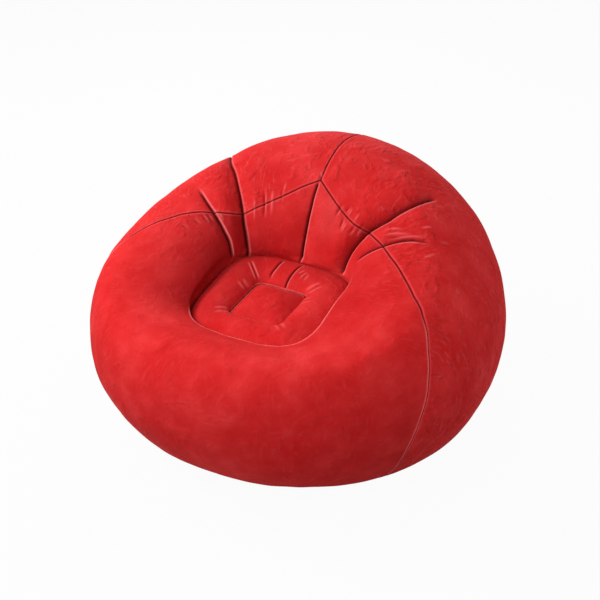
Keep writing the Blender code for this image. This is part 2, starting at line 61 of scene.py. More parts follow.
# A place on the skin is an angle (90 back, -90 front, 0 sitter's left) and a level
# (0 groove, 1 recess lean-in, 2 crest, 3 widest, 4 base edge), as in the CAD.
skin = {
    "lines": (  # half width, front, back, height at front, side, back, roundness, set back at front
        (0.190, 0.294, 0.030, 0.342, 0.386, 0.430, 3.575, 0.0),
        (0.184, 0.288, 0.024, 0.370, 0.443, 0.456, 3.575, 0.0),
        (0.403, 0.493, 0.249, 0.413, 0.494, 0.706, 2.0, 0.075),
        (0.535, 0.530, 0.530, 0.248, 0.298, 0.308, 2.0, 0.0),
        (0.342, 0.261, 0.342, 0.0, 0.0, 0.0, 2.0, 0.0),
    ),
    "recessCurve": 1.63, "upperCurve": 2.17, "lowerCurve": 1.71,
    "crestReach": (0.30, 0.62), "crestBack": 0.45,
    "crestTaps": ((-0.24, 0.12), (-0.12, 0.24), (0.0, 0.28), (0.12, 0.24), (0.24, 0.12)),
    "wall": 0.0005, "gap": 0.00006, "hem": 0.005, "hemLean": 0.25,
    "softness": ((0.130, 0.0016, 3), (0.052, 0.0006, 11)),  # size, height, seed
    "softFrom": 0.6, "softTo": (4.0, 3.5),
    "baseEdge": (0.3, 0.003, 0.010),  # metres to a level, depth and width of the fold at the base seam
}
grooveLine, leanLine, crestLine = skin["lines"][:3]
baseLine = skin["lines"][-1]

# The broad part of each crease, its left and right as in the picture: its line of
# angle and level, depth by level, reach.
creaseHollows = {
    "centre": (((90.2, 1.56), (90.6, 1.4), (91.0, 1.24), (91.3, 0.8)),
               ((0.72, 0.0), (0.95, 0.012), (1.22, 0.016), (1.56, 0.004), (1.9, 0.002), (2.5, 0.0)), 15.0),
    "leftBack": (((137.0, 2.3), (135.6, 1.95), (135.2, 1.5), (135.0, 1.3), (134.0, 1.1), (133.5, 0.7)),
                 ((0.72, 0.0), (0.95, 0.009), (1.2, 0.020), (1.5, 0.024), (1.9, 0.014), (2.4, 0.0)), 9.5),
    "rightBack": (((46.6, 2.3), (46.5, 2.0), (47.2, 1.65), (49.4, 1.52), (52.5, 1.36), (54.3, 1.2),
                   (55.0, 0.8)),
                  ((0.72, 0.0), (0.95, 0.010), (1.2, 0.022), (1.5, 0.025), (1.85, 0.013), (2.2, 0.0)), 10.0),
    "rightArm": (((26.0, 2.15), (28.5, 1.96), (32.0, 1.78), (35.0, 1.575), (38.5, 1.4), (41.8, 1.25),
                  (45.0, 1.1)),
                 ((1.15, 0.0), (1.35, 0.008), (1.55, 0.012), (1.8, 0.007), (2.15, 0.0)), 7.5),
    "leftArm": (((151.0, 2.1), (150.8, 1.8), (150.5, 1.56), (150.0, 1.435), (148.8, 1.3), (147.0, 1.1),
                 (146.3, 0.8)),
                ((0.8, 0.0), (1.1, 0.005), (1.5, 0.012), (1.8, 0.007), (2.15, 0.0)), 7.5),
}

rimSeam = {  # angle and level, from the base edge over the arm to the backrest
    "low": ((-35.0, 4.0), (-33.4, 3.76), (-31.4, 3.50), (-29.4, 3.26), (-27.4, 3.08), (-25.1, 2.90),
            (-21.9, 2.65), (-17.5, 2.45), (-12.5, 2.305), (-8.2, 2.195), (-4.2, 2.105), (0.3, 2.02)),
    "sitterLeft": ((5.0, 1.92), (10.0, 1.835), (14.2, 1.77), (20.2, 1.695), (26.8, 1.615), (35.8, 1.53),
                   (42.0, 1.485), (50.2, 1.44), (55.2, 1.42), (59.8, 1.413), (66.5, 1.425), (73.8, 1.455),
                   (83.5, 1.515), (90.0, 1.57)),
    "sitterRight": ((4.0, 1.96), (7.8, 1.90), (13.5, 1.80), (19.0, 1.71), (23.8, 1.63), (29.5, 1.545),
                    (36.8, 1.44), (44.5, 1.39), (50.8, 1.383), (58.2, 1.403), (64.8, 1.425), (73.8, 1.465),
                    (82.0, 1.515), (90.0, 1.57)),
    "start": -35.0, "end": 215.0, "step": 0.0006,
    "depth": 0.0026, "width": 0.0022, "ridge": 0.0006, "ridgeAt": 0.008, "ridgeWidth": 0.005,
    "pucker": 0.0005, "puckerSpacing": 0.019, "puckerReach": 0.016, "puckerFrom": 0.004,
    # dark: width of the painted shade along the seam; lip and welt: painted highlights beside it
    "puckerDrift": (2.3, 0.21), "puckerSwell": (0.6, 0.4, 0.137), "dark": 0.0018,
    "lip": 0.28, "lipAt": 0.0042, "lipWidth": 0.0014,
    "brightLevels": (2.02, 2.27), "brightShallow": 0.45, "brightBehind": 0.25,  # low on the arms the seam is shallower, with less painted shade and a painted highlight
    "welt": 0.0014, "weltAt": 0.0018, "weltWidth": 0.0014,
}


def smoothStep(value):
    value = np.clip(value, 0, 1)
    return value * value * (3 - 2 * value)


def ramp(value, start, end):  # smooth from 0 at start to 1 at end, whichever is the larger
    return smoothStep((value - start) / (end - start))


def bell(away, width):
    return np.exp(-(away / width) ** 2)


def unit(vectors):
    return vectors / np.maximum(np.linalg.norm(vectors, axis=-1, keepdims=True), 1e-12)


def halfTurn(angle):  # -180 to 180
    return (angle + 180) % 360 - 180


def fromFront(angle):  # -90 to 270
    return (angle + 90) % 360 - 90


def cosine(angle):
    return np.cos(np.radians(angle))


def sine(angle):
    return np.sin(np.radians(angle))


def runAlong(points):  # distance from the first point
    return np.concatenate([[0], np.cumsum(np.linalg.norm(np.diff(points, axis=0), axis=1))])


def linePoint(line, angle):
    halfWidth, front, back, low, side, high, roundness, setBack = line
    across, along = cosine(angle), sine(angle)
    corner = (abs(across) ** roundness + abs(along) ** roundness) ** (1 / roundness)
    across, along = across / corner, along / corner
    height = side + (high - low) / 2 * along + ((high + low) / 2 - side) * along ** 2
    depth = (back - front) / 2 + (back + front) / 2 * along + setBack * np.maximum(-along, 0) ** 3
    return np.stack([halfWidth * across, depth, height], -1)


def ruledSkin(angle, level):
    start = np.clip(level.astype(int), 0, 3)
    turn = (level - start) * pi / 2
    rise, fall = np.sin(turn), np.maximum(np.cos(turn), 0)
    recess, upper, lower = 2 / skin["recessCurve"], 2 / skin["upperCurve"], 2 / skin["lowerCurve"]
    out = np.choose(start, [rise ** 2, 1 - fall ** recess, rise ** upper, 1 - fall ** lower])
    up = np.choose(start, [level - start, rise ** recess, 1 - fall ** upper, rise ** lower])
    lines = [linePoint(line, angle) for line in skin["lines"]]
    low = np.choose(start[..., None], lines[:4])
    high = np.choose(start[..., None], lines[1:])
    return low + (high - low) * np.stack([out, out, up], -1)


def crestMean(angle, level, share):
    share = share * (1 + (skin["crestBack"] - 1) * smoothStep(0.5 + 0.5 * sine(angle)))
    return sum(weight * ruledSkin(angle, level + step * share) for step, weight in skin["crestTaps"])


tableAngle = np.linspace(-90, 270, 721)
tableCrest = np.full(721, 2.0)
crestLift = ruledSkin(tableAngle, tableCrest) - crestMean(tableAngle, tableCrest, np.ones(721))


def smoothSkin(angle, level):  # the ruled surface with its crest rounded over
    points = ruledSkin(angle, level)
    inner, outer = skin["crestReach"]
    near = abs(level - 2) < outer
    a, l = angle[near], level[near]
    share = smoothStep((outer - abs(l - 2)) / (outer - inner))
    lift = np.stack([np.interp(fromFront(a), tableAngle, crestLift[:, k]) for k in range(3)], -1)
    points[near] = crestMean(a, l, share) + lift * share[..., None]
    return points


def skinNormal(angle, level):
    level = np.clip(level, 0.01, 3.99)
    around = smoothSkin(angle + 0.5, level) - smoothSkin(angle - 0.5, level)
    down = smoothSkin(angle, level + 0.01) - smoothSkin(angle, level - 0.01)
    return unit(np.cross(down, around))


def curveThrough(places, values, at):  # smooth curve through a few places
    places, values = np.array(places, float), np.array(values, float)
    slopes = np.empty(len(places))
    slopes[1:-1] = (values[2:] - values[:-2]) / (places[2:] - places[:-2])
    slopes[0] = (values[1] - values[0]) / (places[1] - places[0])
    slopes[-1] = (values[-1] - values[-2]) / (places[-1] - places[-2])
    k = np.clip(np.searchsorted(places, at, side="right") - 1, 0, len(places) - 2)
    width = places[k + 1] - places[k]
    t = (at - places[k]) / width
    return (values[k] * (1 + 2 * t) * (1 - t) ** 2 + slopes[k] * width * t * (1 - t) ** 2
            + values[k + 1] * t * t * (3 - 2 * t) + slopes[k + 1] * width * t * t * (t - 1))


def broadHollow(angle, level):
    depth = np.zeros(angle.shape)
    for path, deep, reach in creaseHollows.values():
        places, levels = zip(*path[::-1])
        away = np.clip(abs(halfTurn(angle - np.interp(level, levels, places)) / reach), 0, 1)
        knots, depths = zip(*deep)
        here = curveThrough(knots, depths, np.clip(level, knots[0], knots[-1]))
        depth += np.maximum(here, 0) * (1 - away) ** 2
    return depth


def seamLevel(angle):
    angle = fromFront(angle)
    levels = np.full(angle.shape, 4.0)
    for side, across in (("sitterLeft", angle), ("sitterRight", 180 - angle)):
        places, values = zip(*(rimSeam["low"] + rimSeam[side]))
        here = (across <= 90) & (across > rimSeam["start"])
        levels[here] = curveThrough(places, values, across[here])
    return levels


def softField(points, size, seed, waves=14, largest=1.6):  # smooth random field between about -1 and 1
    rng = np.random.default_rng(seed)
    total = np.zeros(points.shape[:-1])
    for k in range(waves):
        way = unit(rng.normal(size=3)) * 2 * pi / size * rng.uniform(0.6, 1.25)
        total += np.cos(points @ way + rng.uniform(0, 2 * pi))
    return total / waves ** 0.5 / largest


def crease(*path, **look):
    return {"path": path, "lips": (0.0, 0.0), "dark": 0.0, "fade": (0.5, 0.5)} | look


# Creases, puckers and folds read off the photograph, their left and right as there: path
# of angle and level, depth (a ridge where negative), width, lips on either side with a
# painted highlight, how dark the painted shade in the crease is, fade at both ends.
marks = {
    "leftBackCrease": crease(
        (137.2, 2.36), (137.0, 2.17), (135.7, 1.95), (135.1, 1.80), (135.1, 1.60), (135.3, 1.45),
        (135.2, 1.30), (134.4, 1.18), (133.7, 1.0), (133.5, 0.78), (133.5, 0.2),
        depth=0.0060, width=0.0028, lips=(0.0012, 0.0), dark=1.0, core=0.0038, fade=(0.05, 0.08),
        under=(0.55, 0.016)),
    "rightBackCrease": crease(
        (46.5, 2.12), (46.5, 2.035), (46.4, 1.9), (46.7, 1.75), (47.4, 1.62), (49.4, 1.52),
        (51.5, 1.43), (52.8, 1.33), (54.2, 1.21), (55.0, 1.08), (55.0, 0.6),
        depth=0.0062, width=0.0034, lips=(0.0016, 0.0), dark=1.0, core=0.0054, fade=(0.03, 0.10),
        under=(0.95, 0.013), slump=(0.0035, 0.020)),
    "centreCrease": crease(
        (90.9, 1.565), (91.4, 1.46), (91.5, 1.36), (91.8, 1.24), (92.2, 1.06), (92.2, 0.4),
        depth=0.0055, width=0.0028, lips=(0.0016, 0.0), dark=1.0, core=0.0038, fade=(0.03, 0.35),
        under=(0.35, 0.006)),
    "leftArmCrease": crease(
        (150.8, 1.88), (150.8, 1.70), (150.5, 1.56), (150.0, 1.435), (148.8, 1.305), (147.2, 1.16),
        (146.3, 0.5),
        depth=0.0052, width=0.0026, lips=(0.0020, 0.0), dark=1.0, core=0.0034, fade=(0.10, 0.30),
        under=(0.45, 0.008)),
    "rightArmCrease": crease(
        (27.0, 2.02), (28.6, 1.96), (30.4, 1.87), (32.0, 1.78), (33.4, 1.69), (35.0, 1.575),
        (37.0, 1.46), (39.8, 1.335), (42.4, 1.22),
        depth=0.0044, width=0.0026, lips=(0.0016, 0.0), dark=1.0, core=0.0038, fade=(0.30, 0.12),
        under=(0.6, 0.006)),
    "foldBesideBack": crease((136.0, 1.97), (137.4, 1.8), (138.6, 1.62), depth=0.0022, width=0.006, dark=0.1),
    "foldAboveRight": crease((53.5, 1.94), (50.5, 2.09), (46.0, 2.17), depth=-0.0022, width=0.008),
    "flankDentA": crease((-24.5, 3.01), (-11.5, 2.86), depth=0.0024, width=0.012),
    "flankDentB": crease((10.0, 2.17), (-6.0, 2.41), depth=-0.0012, width=0.009),
    "flankDentC": crease((13.0, 2.39), (0.0, 2.55), depth=0.0012, width=0.008),
    "flankDentD": crease((14.5, 2.74), (1.5, 2.94), depth=-0.0016, width=0.010),
    "frontFoldA": crease((-112.0, 1.70), (-112.0, 1.53), depth=0.0010, width=0.007),
    "joinMark": crease(
        (91.6, 1.625), (90.2, 1.600), (89.4, 1.585), depth=-0.0005, width=0.0022, fade=(0.3, 0.3), pale=0.9),
    "frontFoldB": crease((-92.0, 1.73), (-81.0, 1.90), depth=0.0012, width=0.008),
}
shortMarks = (  # first angle and level, last angle and level, depth, width
    (160.0, 1.66, 161.5, 1.53, 0.0012, 0.0036), (156.5, 1.62, 156.5, 1.47, 0.0014, 0.0034),
    (154.0, 1.59, 154.0, 1.44, 0.0014, 0.0034), (149.0, 1.57, 147.5, 1.42, -0.0016, 0.0034),
    (147.3, 1.56, 147.3, 1.38, -0.0010, 0.0030),
    (121.5, 1.54, 122.0, 1.28, 0.0026, 0.0030), (127.0, 1.50, 128.0, 1.27, -0.0012, 0.0034),
    (111.5, 1.52, 111.5, 1.39, 0.0013, 0.0034), (109.0, 1.54, 110.0, 1.47, -0.0011, 0.0032),
    (116.5, 1.53, 117.0, 1.30, -0.0014, 0.0050),
    (71.5, 1.49, 73.0, 1.37, 0.0020, 0.0034), (67.0, 1.50, 68.0, 1.43, 0.0014, 0.0032),
    (67.5, 1.43, 66.0, 1.30, 0.0017, 0.0036), (63.5, 1.41, 64.0, 1.30, -0.0016, 0.0036),
    (58.5, 1.42, 60.0, 1.32, 0.0018, 0.0034), (54.5, 1.44, 55.5, 1.34, -0.0016, 0.0036),
    (65.0, 1.50, 65.0, 1.42, -0.0012, 0.0032), (60.0, 1.50, 60.0, 1.42, -0.0012, 0.0032),
    (51.5, 1.46, 51.5, 1.36, 0.0015, 0.0034), (48.5, 1.47, 49.0, 1.33, -0.0012, 0.0034),
    (43.0, 1.58, 37.0, 1.76, -0.0011, 0.0036), (41.0, 1.53, 33.0, 1.84, -0.0013, 0.0036),
    (37.0, 1.56, 30.0, 2.00, -0.0012, 0.0036), (38.8, 1.56, 34.0, 1.74, 0.0010, 0.0036),
    (22.0, 1.90, 23.5, 2.03, -0.0012, 0.0040), (35.5, 1.89, 34.5, 2.02, -0.0010, 0.0040),
    (27.5, 2.05, 26.0, 2.14, 0.0010, 0.0044), (166.0, 1.70, 168.0, 1.58, 0.0008, 0.0040),
)
shortLook = {"depth": 1.7, "width": 0.85, "lip": 0.5, "dark": 0.5, "pale": 0.55}  # shares of their own sizes
for k, (angle0, level0, angle1, level1, deep, wide) in enumerate(shortMarks):
    # sunk marks get painted shade in them, raised ones a painted highlight along them
    sunk = deep > 0
    marks[f"short{k}"] = crease(
        (angle0, level0), ((angle0 + angle1) / 2, (level0 + level1) / 2), (angle1, level1),
        depth=deep * shortLook["depth"], width=wide * shortLook["width"],
        lips=(shortLook["lip"] * max(deep, 0), 0),
        dark=shortLook["dark"] if sunk else 0, pale=0 if sunk else shortLook["pale"])

markShape = {  # shared by all marks: shares of a mark's width, and sizes in metres
    "step": 0.0007, "apart": (0.008, 0.3),  # metres to a degree and to a level
    # lipFull: lip height at which its painted highlight is full; core and pale: widths of the painted shade
    # in a crease and of the painted highlight along a ridge
    "reach": 5, "slumpReach": 4, "lipAt": 2.1, "lipWidth": 0.9, "lipEnd": 4, "lipFull": 0.0022,
    "coreShare": 0.6, "coreMost": 0.0018, "edge": 0.002, "paleWidth": 0.8,
}


def densePath(path, step, surface):
    angles, levels = np.array(path, float).T
    degree, rise = markShape["apart"]
    knots = np.concatenate([[0], np.cumsum(np.hypot(np.diff(angles) * degree, np.diff(levels) * rise))])

    def sample(count):
        at = np.linspace(0, knots[-1], count)
        return curveThrough(knots, angles, at), curveThrough(knots, levels, at)

    return sample(max(int(runAlong(surface(*sample(60)))[-1] / step), 4))


def nearPath(points, line, reach):  # nearest place on a line of points, for the points within reach
    near = np.all((points > line.min(0) - reach) & (points < line.max(0) + reach), axis=1)
    tree = KDTree(len(line))
    for k, place in enumerate(line):
        tree.insert(place, k)
    tree.balance()
    which = np.flatnonzero(near)
    found = [tree.find(points[k])[1:] for k in which]
    index = np.array([f[0] for f in found], int)
    away = np.array([f[1] for f in found], float)
    return which, index, away


def applyMark(points, mark, surface, normalOf, lift, shade, light):
    shape, width = markShape, mark["width"]
    angle, level = densePath(mark["path"], shape["step"], surface)
    line = surface(angle, level)
    reach = max(width * shape["reach"], mark.get("slump", (0, 0))[1] * shape["slumpReach"])
    which, index, away = nearPath(points, line, reach)
    if not len(which):
        return
    side = unit(np.cross(normalOf(angle, level), unit(np.gradient(line, axis=0))))
    signed = np.einsum("ij,ij->i", points[which] - line[index], side[index])
    share = index / (len(line) - 1)
    first, last = mark["fade"]
    fade = smoothStep(share / max(first, 1e-3)) * smoothStep((1 - share) / max(last, 1e-3))

    def overhang(deep, wide):  # falls off on the side that lies deeper
        return deep * np.exp(-abs(signed) / wide) * smoothStep(0.5 - signed / shape["edge"])

    def brighten(target, values):
        target[which] = np.maximum(target[which], values)

    lift[which] -= mark["depth"] * fade * bell(away, width)
    if "slump" in mark:  # one side hangs over into the crease
        lift[which] -= fade * overhang(*mark["slump"])
    # a raised lip beside the crease, with a painted highlight on it
    for height, way in zip(mark["lips"], (1, -1)):
        lip = bell(signed * way - shape["lipAt"] * width, shape["lipWidth"] * width)
        lip *= away < shape["lipEnd"] * width
        lift[which] += height * fade * lip
        brighten(light, lip * fade * min(height / shape["lipFull"], 1))
    core = mark.get("core", min(width * shape["coreShare"], shape["coreMost"]))
    # painted shade on the side that lies deeper
    if "under" in mark:
        brighten(shade, fade * overhang(*mark["under"]))
    # painted shade in the crease
    brighten(shade, mark["dark"] * fade * bell(away, core))
    # a painted highlight along raised marks
    brighten(light, mark.get("pale", 0) * fade * bell(away, width * shape["paleWidth"]))


def rimSeamLine():
    angle = np.linspace(rimSeam["start"], rimSeam["end"], 2400)
    run = runAlong(smoothSkin(angle, seamLevel(angle)))
    at = np.linspace(0, run[-1], int(run[-1] / rimSeam["step"]))
    angle = np.interp(at, run, angle)
    level = seamLevel(angle)
    return smoothSkin(angle, level), at, ramp(level, *rimSeam["brightLevels"])


def backSeamLine():
    level = np.linspace(rimSeam["sitterLeft"][-1][1], 4.0, 1500)
    line = smoothSkin(np.full(level.shape, 90.0), level)
    return line, runAlong(line), np.zeros(len(line))


def applySeam(points, seam, lift, shade, light, front):
    line, run, brightness = seam
    look = rimSeam
    which, index, away = nearPath(points, line, look["puckerReach"] * 3)
    bright = brightness[index]
    lift[which] -= look["depth"] * (1 - look["brightShallow"] * bright) * np.exp(-away / look["width"])
    lift[which] += look["ridge"] * bell(away - look["ridgeAt"], look["ridgeWidth"])
    turn = run[index] / look["puckerSpacing"] * 2 * pi
    drift, slow = look["puckerDrift"]
    least, swell, pace = look["puckerSwell"]
    wave = np.sin(turn + drift * np.sin(turn * slow)) * (least + swell * np.sin(turn * pace + 1))
    fade = np.exp(-away / look["puckerReach"]) * np.clip(away / look["puckerFrom"], 0, 1)
    lift[which] += look["pucker"] * wave * fade
    # painted shade along the seam, less where it sits low on the arms
    dark = (1 - bright * (1.0 if front else look["brightBehind"])) * bell(away, look["dark"])
    shade[which] = np.maximum(shade[which], dark)
    # a painted highlight beside the seam
    light[which] = np.maximum(light[which], look["lip"] * bell(away - look["lipAt"], look["lipWidth"]))
    # on the front, a welt with a painted highlight
    if front:
        welt = bright * bell(away - look["weltAt"], look["weltWidth"])
        lift[which] += look["welt"] * welt
        light[which] = np.maximum(light[which], welt)


def shapedSkin(angle, level, front=True):
    points = smoothSkin(angle, level)
    lift = -broadHollow(angle, level)
    shade, light = np.zeros(len(points)), np.zeros(len(points))
    for size, height, seed in skin["softness"]:
        soft = height * softField(points, size, seed) * smoothStep(level / skin["softFrom"])
        lift += soft * ramp(level, *skin["softTo"])
    for mark in marks.values():
        applyMark(points, mark, smoothSkin, skinNormal, lift, shade, light)
    applySeam(points, rimSeamLine(), lift, shade, light, front)
    applySeam(points, backSeamLine(), lift, shade, light, True)
    scale, depth, width = skin["baseEdge"]
    lift -= depth * np.exp(-(4 - level) * scale / width)
    return points + skinNormal(angle, level) * lift[:, None], shade, light


def columnAngles(start, end, plain, fine, samples=4000, ease=6):  # closer columns at creases and puckers
    at = np.linspace(start, end, samples)
    step = np.full(at.shape, plain)
    for middle, reach, small in fine:
        away = abs(halfTurn(at - middle))
        step = np.minimum(step, small + (plain - small) * smoothStep((away - reach) / ease))
    run = np.concatenate([[0], np.cumsum((at[1:] - at[:-1]) / step[:-1])])
    return np.interp(np.linspace(0, run[-1], int(run[-1]) + 1), run, at)


tightRows = np.array([0.0, 0.0011, 0.0024, 0.0040, 0.0060, 0.0085, 0.0120])  # distances from an edge
tightRoom, rowSamples = 0.06, 240


def rowLevels(surface, angles, first, last, rows, margin, dense=None):  # rows closer beside both edges
    share = np.linspace(0, 1, rowSamples)
    levels = first[:, None] + (last - first)[:, None] * share
    points = surface(np.repeat(angles[:, None], rowSamples, 1), levels)
    run = np.cumsum(np.linalg.norm(np.diff(points, axis=1), axis=2), axis=1)
    run = np.concatenate([np.zeros((len(angles), 1)), run], axis=1)
    grid = np.empty((len(angles), rows + 1))
    travel = np.empty_like(grid)
    weight = np.ones(levels.shape) if dense is None else dense(levels)
    for k, length in enumerate(run[:, -1]):
        room = max(length - 2 * margin, 1e-6)
        tight = tightRows * min(1, room / tightRoom)
        heavy = np.concatenate([[0], np.cumsum(np.diff(run[k]) * weight[k, 1:])])
        ends = np.interp([margin + tight[-1], margin + room - tight[-1]], run[k], heavy)
        middle = np.interp(np.linspace(*ends, rows + 3 - 2 * len(tightRows)), heavy, run[k]) - margin
        at = margin + np.concatenate([tight[:-1], middle, (room - tight)[::-1][1:]])
        travel[k] = np.minimum(at, length)
        grid[k] = np.interp(travel[k], run[k], levels[k])
    return grid, travel


def withSkirts(levels, travel):  # two more rows under each edge, for the turned-in hem
    def widened(rows):
        return np.concatenate([np.repeat(rows[:, :1], 2, 1), rows, np.repeat(rows[:, -1:], 2, 1)], 1)

    hem = np.zeros(levels.shape[1] + 4)
    hem[[0, -1]], hem[[1, -2]] = skin["hem"], skin["hem"] / 2
    return widened(levels), widened(travel), hem


def gridMesh(name, columns, rows):
    bm = bmesh.new()
    bmesh.ops.create_grid(bm, x_segments=columns, y_segments=rows, size=0.5)
    mesh = bpy.data.meshes.new(name)
    bm.to_mesh(mesh)
    bm.free()
    flat = np.empty(len(mesh.vertices) * 3)
    mesh.vertices.foreach_get("co", flat)
    flat = flat.reshape(-1, 3)
    column = np.rint((flat[:, 0] + 0.5) * columns).astype(int)
    row = np.rint((flat[:, 1] + 0.5) * rows).astype(int)
    return mesh, column, row


def squareGrid(name, cells):  # with u and v from -1 to 1, and the share of the way to the edge
    mesh, column, row = gridMesh(name, cells, cells)
    u, v = column / cells * 2 - 1, row / cells * 2 - 1
    return mesh, u, v, np.maximum(abs(u), abs(v)), np.degrees(np.arctan2(v, u))


def setPlaces(mesh, points, across, along, shade, light, hollow=0.0, worn=0.5):
    mesh.vertices.foreach_set("co", points.astype(np.float32).ravel())
    corner = np.empty(len(mesh.loops), int)
    mesh.loops.foreach_get("vertex_index", corner)
    layer = mesh.uv_layers.new(name="skinMap")
    layer.data.foreach_set("uv", np.stack([across, along], 1)[corner].astype(np.float32).ravel())
    looks = {"creaseShade": shade, "lipLight": light, "hollowShade": hollow, "wornPile": worn}
    for title, values in looks.items():
        attribute = mesh.attributes.new(title, "FLOAT", "POINT")
        attribute.data.foreach_set("value", np.broadcast_to(values, len(points)).astype(np.float32))


def finishPiece(name, mesh, material, wall, outward=None, detail=None, offset=-1.0):
    bm = bmesh.new()
    bm.from_mesh(mesh)
    bmesh.ops.remove_doubles(bm, verts=bm.verts, dist=0.00001)
    slivers = [face for face in bm.faces if face.calc_area() < 1e-10]
    bmesh.ops.delete(bm, geom=slivers, context="FACES")
    if detail:
        detail(bm)
    bm.normal_update()
    if outward and sum(f.normal.dot(outward(f.calc_center_median())) * f.calc_area() for f in bm.faces) < 0:
        bmesh.ops.reverse_faces(bm, faces=bm.faces)
    bm.to_mesh(mesh)
    bm.free()
    mesh.shade_smooth()
    piece = bpy.data.objects.new(name, mesh)
    bpy.context.scene.collection.objects.link(piece)
    mesh.materials.append(material)
    solid = piece.modifiers.new("wall", "SOLIDIFY")
    solid.thickness, solid.offset = wall, offset
    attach(piece, "root")
    return piece


class Wire:  # an output socket that can stand in a sum
    def __init__(self, shader, socket):
        self.shader, self.socket = shader, socket

    def join(self, operation, first, second):
        return self.shader.node("ShaderNodeMath", {"operation": operation}, {0: first, 1: second})

    def __add__(self, other):
        return self.join("ADD", self, other)

    def __radd__(self, other):
        return self.join("ADD", other, self)

    def __sub__(self, other):
        return self.join("SUBTRACT", self, other)

    def __rsub__(self, other):
        return self.join("SUBTRACT", other, self)

    def __mul__(self, other):
        return self.join("MULTIPLY", self, other)

    def __rmul__(self, other):
        return self.join("MULTIPLY", other, self)


class Shader:
    def __init__(self, owner):
        owner.use_nodes = True
        self.owner, self.tree = owner, owner.node_tree

    def node(self, kind, settings=None, inputs=None, out=0):
        made = self.tree.nodes.new(kind)
        for key, value in (settings or {}).items():
            if key == "stops":
                for k, (place, colour) in enumerate(value):
                    stop = made.color_ramp.elements[k] if k < 2 else made.color_ramp.elements.new(place)
                    stop.position, stop.color = place, colour
            else:
                setattr(made, key, value)
        for key, value in (inputs or {}).items():
            self.feed(made.inputs[key], value)
        return Wire(self, made.outputs[out])

    def feed(self, socket, value):
        if isinstance(value, Wire):
            self.tree.links.new(value.socket, socket)
        else:
            socket.default_value = value

    def vector(self, operation, inputs):
        return self.node("ShaderNodeVectorMath", {"operation": operation}, inputs)

    def attribute(self, title):
        return self.node("ShaderNodeAttribute", {"attribute_name": title}, out=2)

    def mix(self, factor, first, second):
        return self.node("ShaderNodeMix", {"data_type": "RGBA"}, {0: factor, 6: first, 7: second}, 2)

    def level(self, wire, low, high, newLow=0.0, newHigh=1.0):
        inputs = {0: wire, 1: low, 2: high, 3: newLow, 4: newHigh}
        return self.node("ShaderNodeMapRange", {"clamp": True}, inputs)

    def roughen(self, surface, cloud, rough, change):
        rough = self.level(cloud, 0.3, 0.7, rough - change, rough + change)
        self.feed(surface.inputs["Roughness"], rough)

    def emboss(self, surface, height, strength, distance):
        bump = {"Height": height, "Strength": strength, "Distance": distance}
        self.feed(surface.inputs["Normal"], self.node("ShaderNodeBump", {}, bump))


flock = {
    "deep": (0.57, 0.0110, 0.0120, 1), "main": (0.63, 0.0200, 0.0212, 1), "pale": (0.71, 0.034, 0.035, 1),
    # crease and hollow are colours of painted shade, lip the colour of painted highlights and of the lighter
    # raised pile
    "crease": (0.045, 0.0010, 0.0018, 1), "lip": (1.0, 0.200, 0.205, 1), "hollow": (0.22, 0.0035, 0.0050, 1),
    "hollowShare": 0.80, "strokePale": 0.13, "lipShare": 0.90, "creaseShare": 0.92,
    "roughness": 0.86, "roughChange": 0.06, "gloss": 0.05,
    "sheen": 0.05, "sheenRoughness": 0.4, "sheenTint": (1.0, 0.30, 0.30, 1),
    "patchScale": 6.0, "cloudScale": 19.0, "fuzzScale": 620.0, "warpScale": 11.0, "warp": 0.035,
    "toneShares": (0.55, 0.45, 0.22), "toneRamp": (0.46, 0.76),  # of patch, cloud and fuzz
    "stroke": (22.0, 0.50, 0.62, 24.0), "fleck": (46.0, 0.54, 0.64, 37.0),  # scale, from, to, scale of places
    "strokeStep": (0.46, 0.54), "strokeLine": 0.045,
    "combScale": (34.0, 120.0), "combRamp": (0.54, 0.66),
    "combPatch": (0.50, 0.62), "combAcross": (0.52, 0.40),
    # the dents are darkened with painted shade
    "dentScale": 40.0, "dentDark": 0.12, "dentRamp": (0.57, 0.68),
    "dentHeights": (0.58, 0.44), "dentWorn": (0.85, 1.0),
    "raised": (0.25, 0.35, 0.8), "relief": (0.5, 0.5, 0.25, 0.18, 0.05), "unworn": (0.05, 0.2),
    "bump": 0.62, "bumpHeight": 0.0036,
}


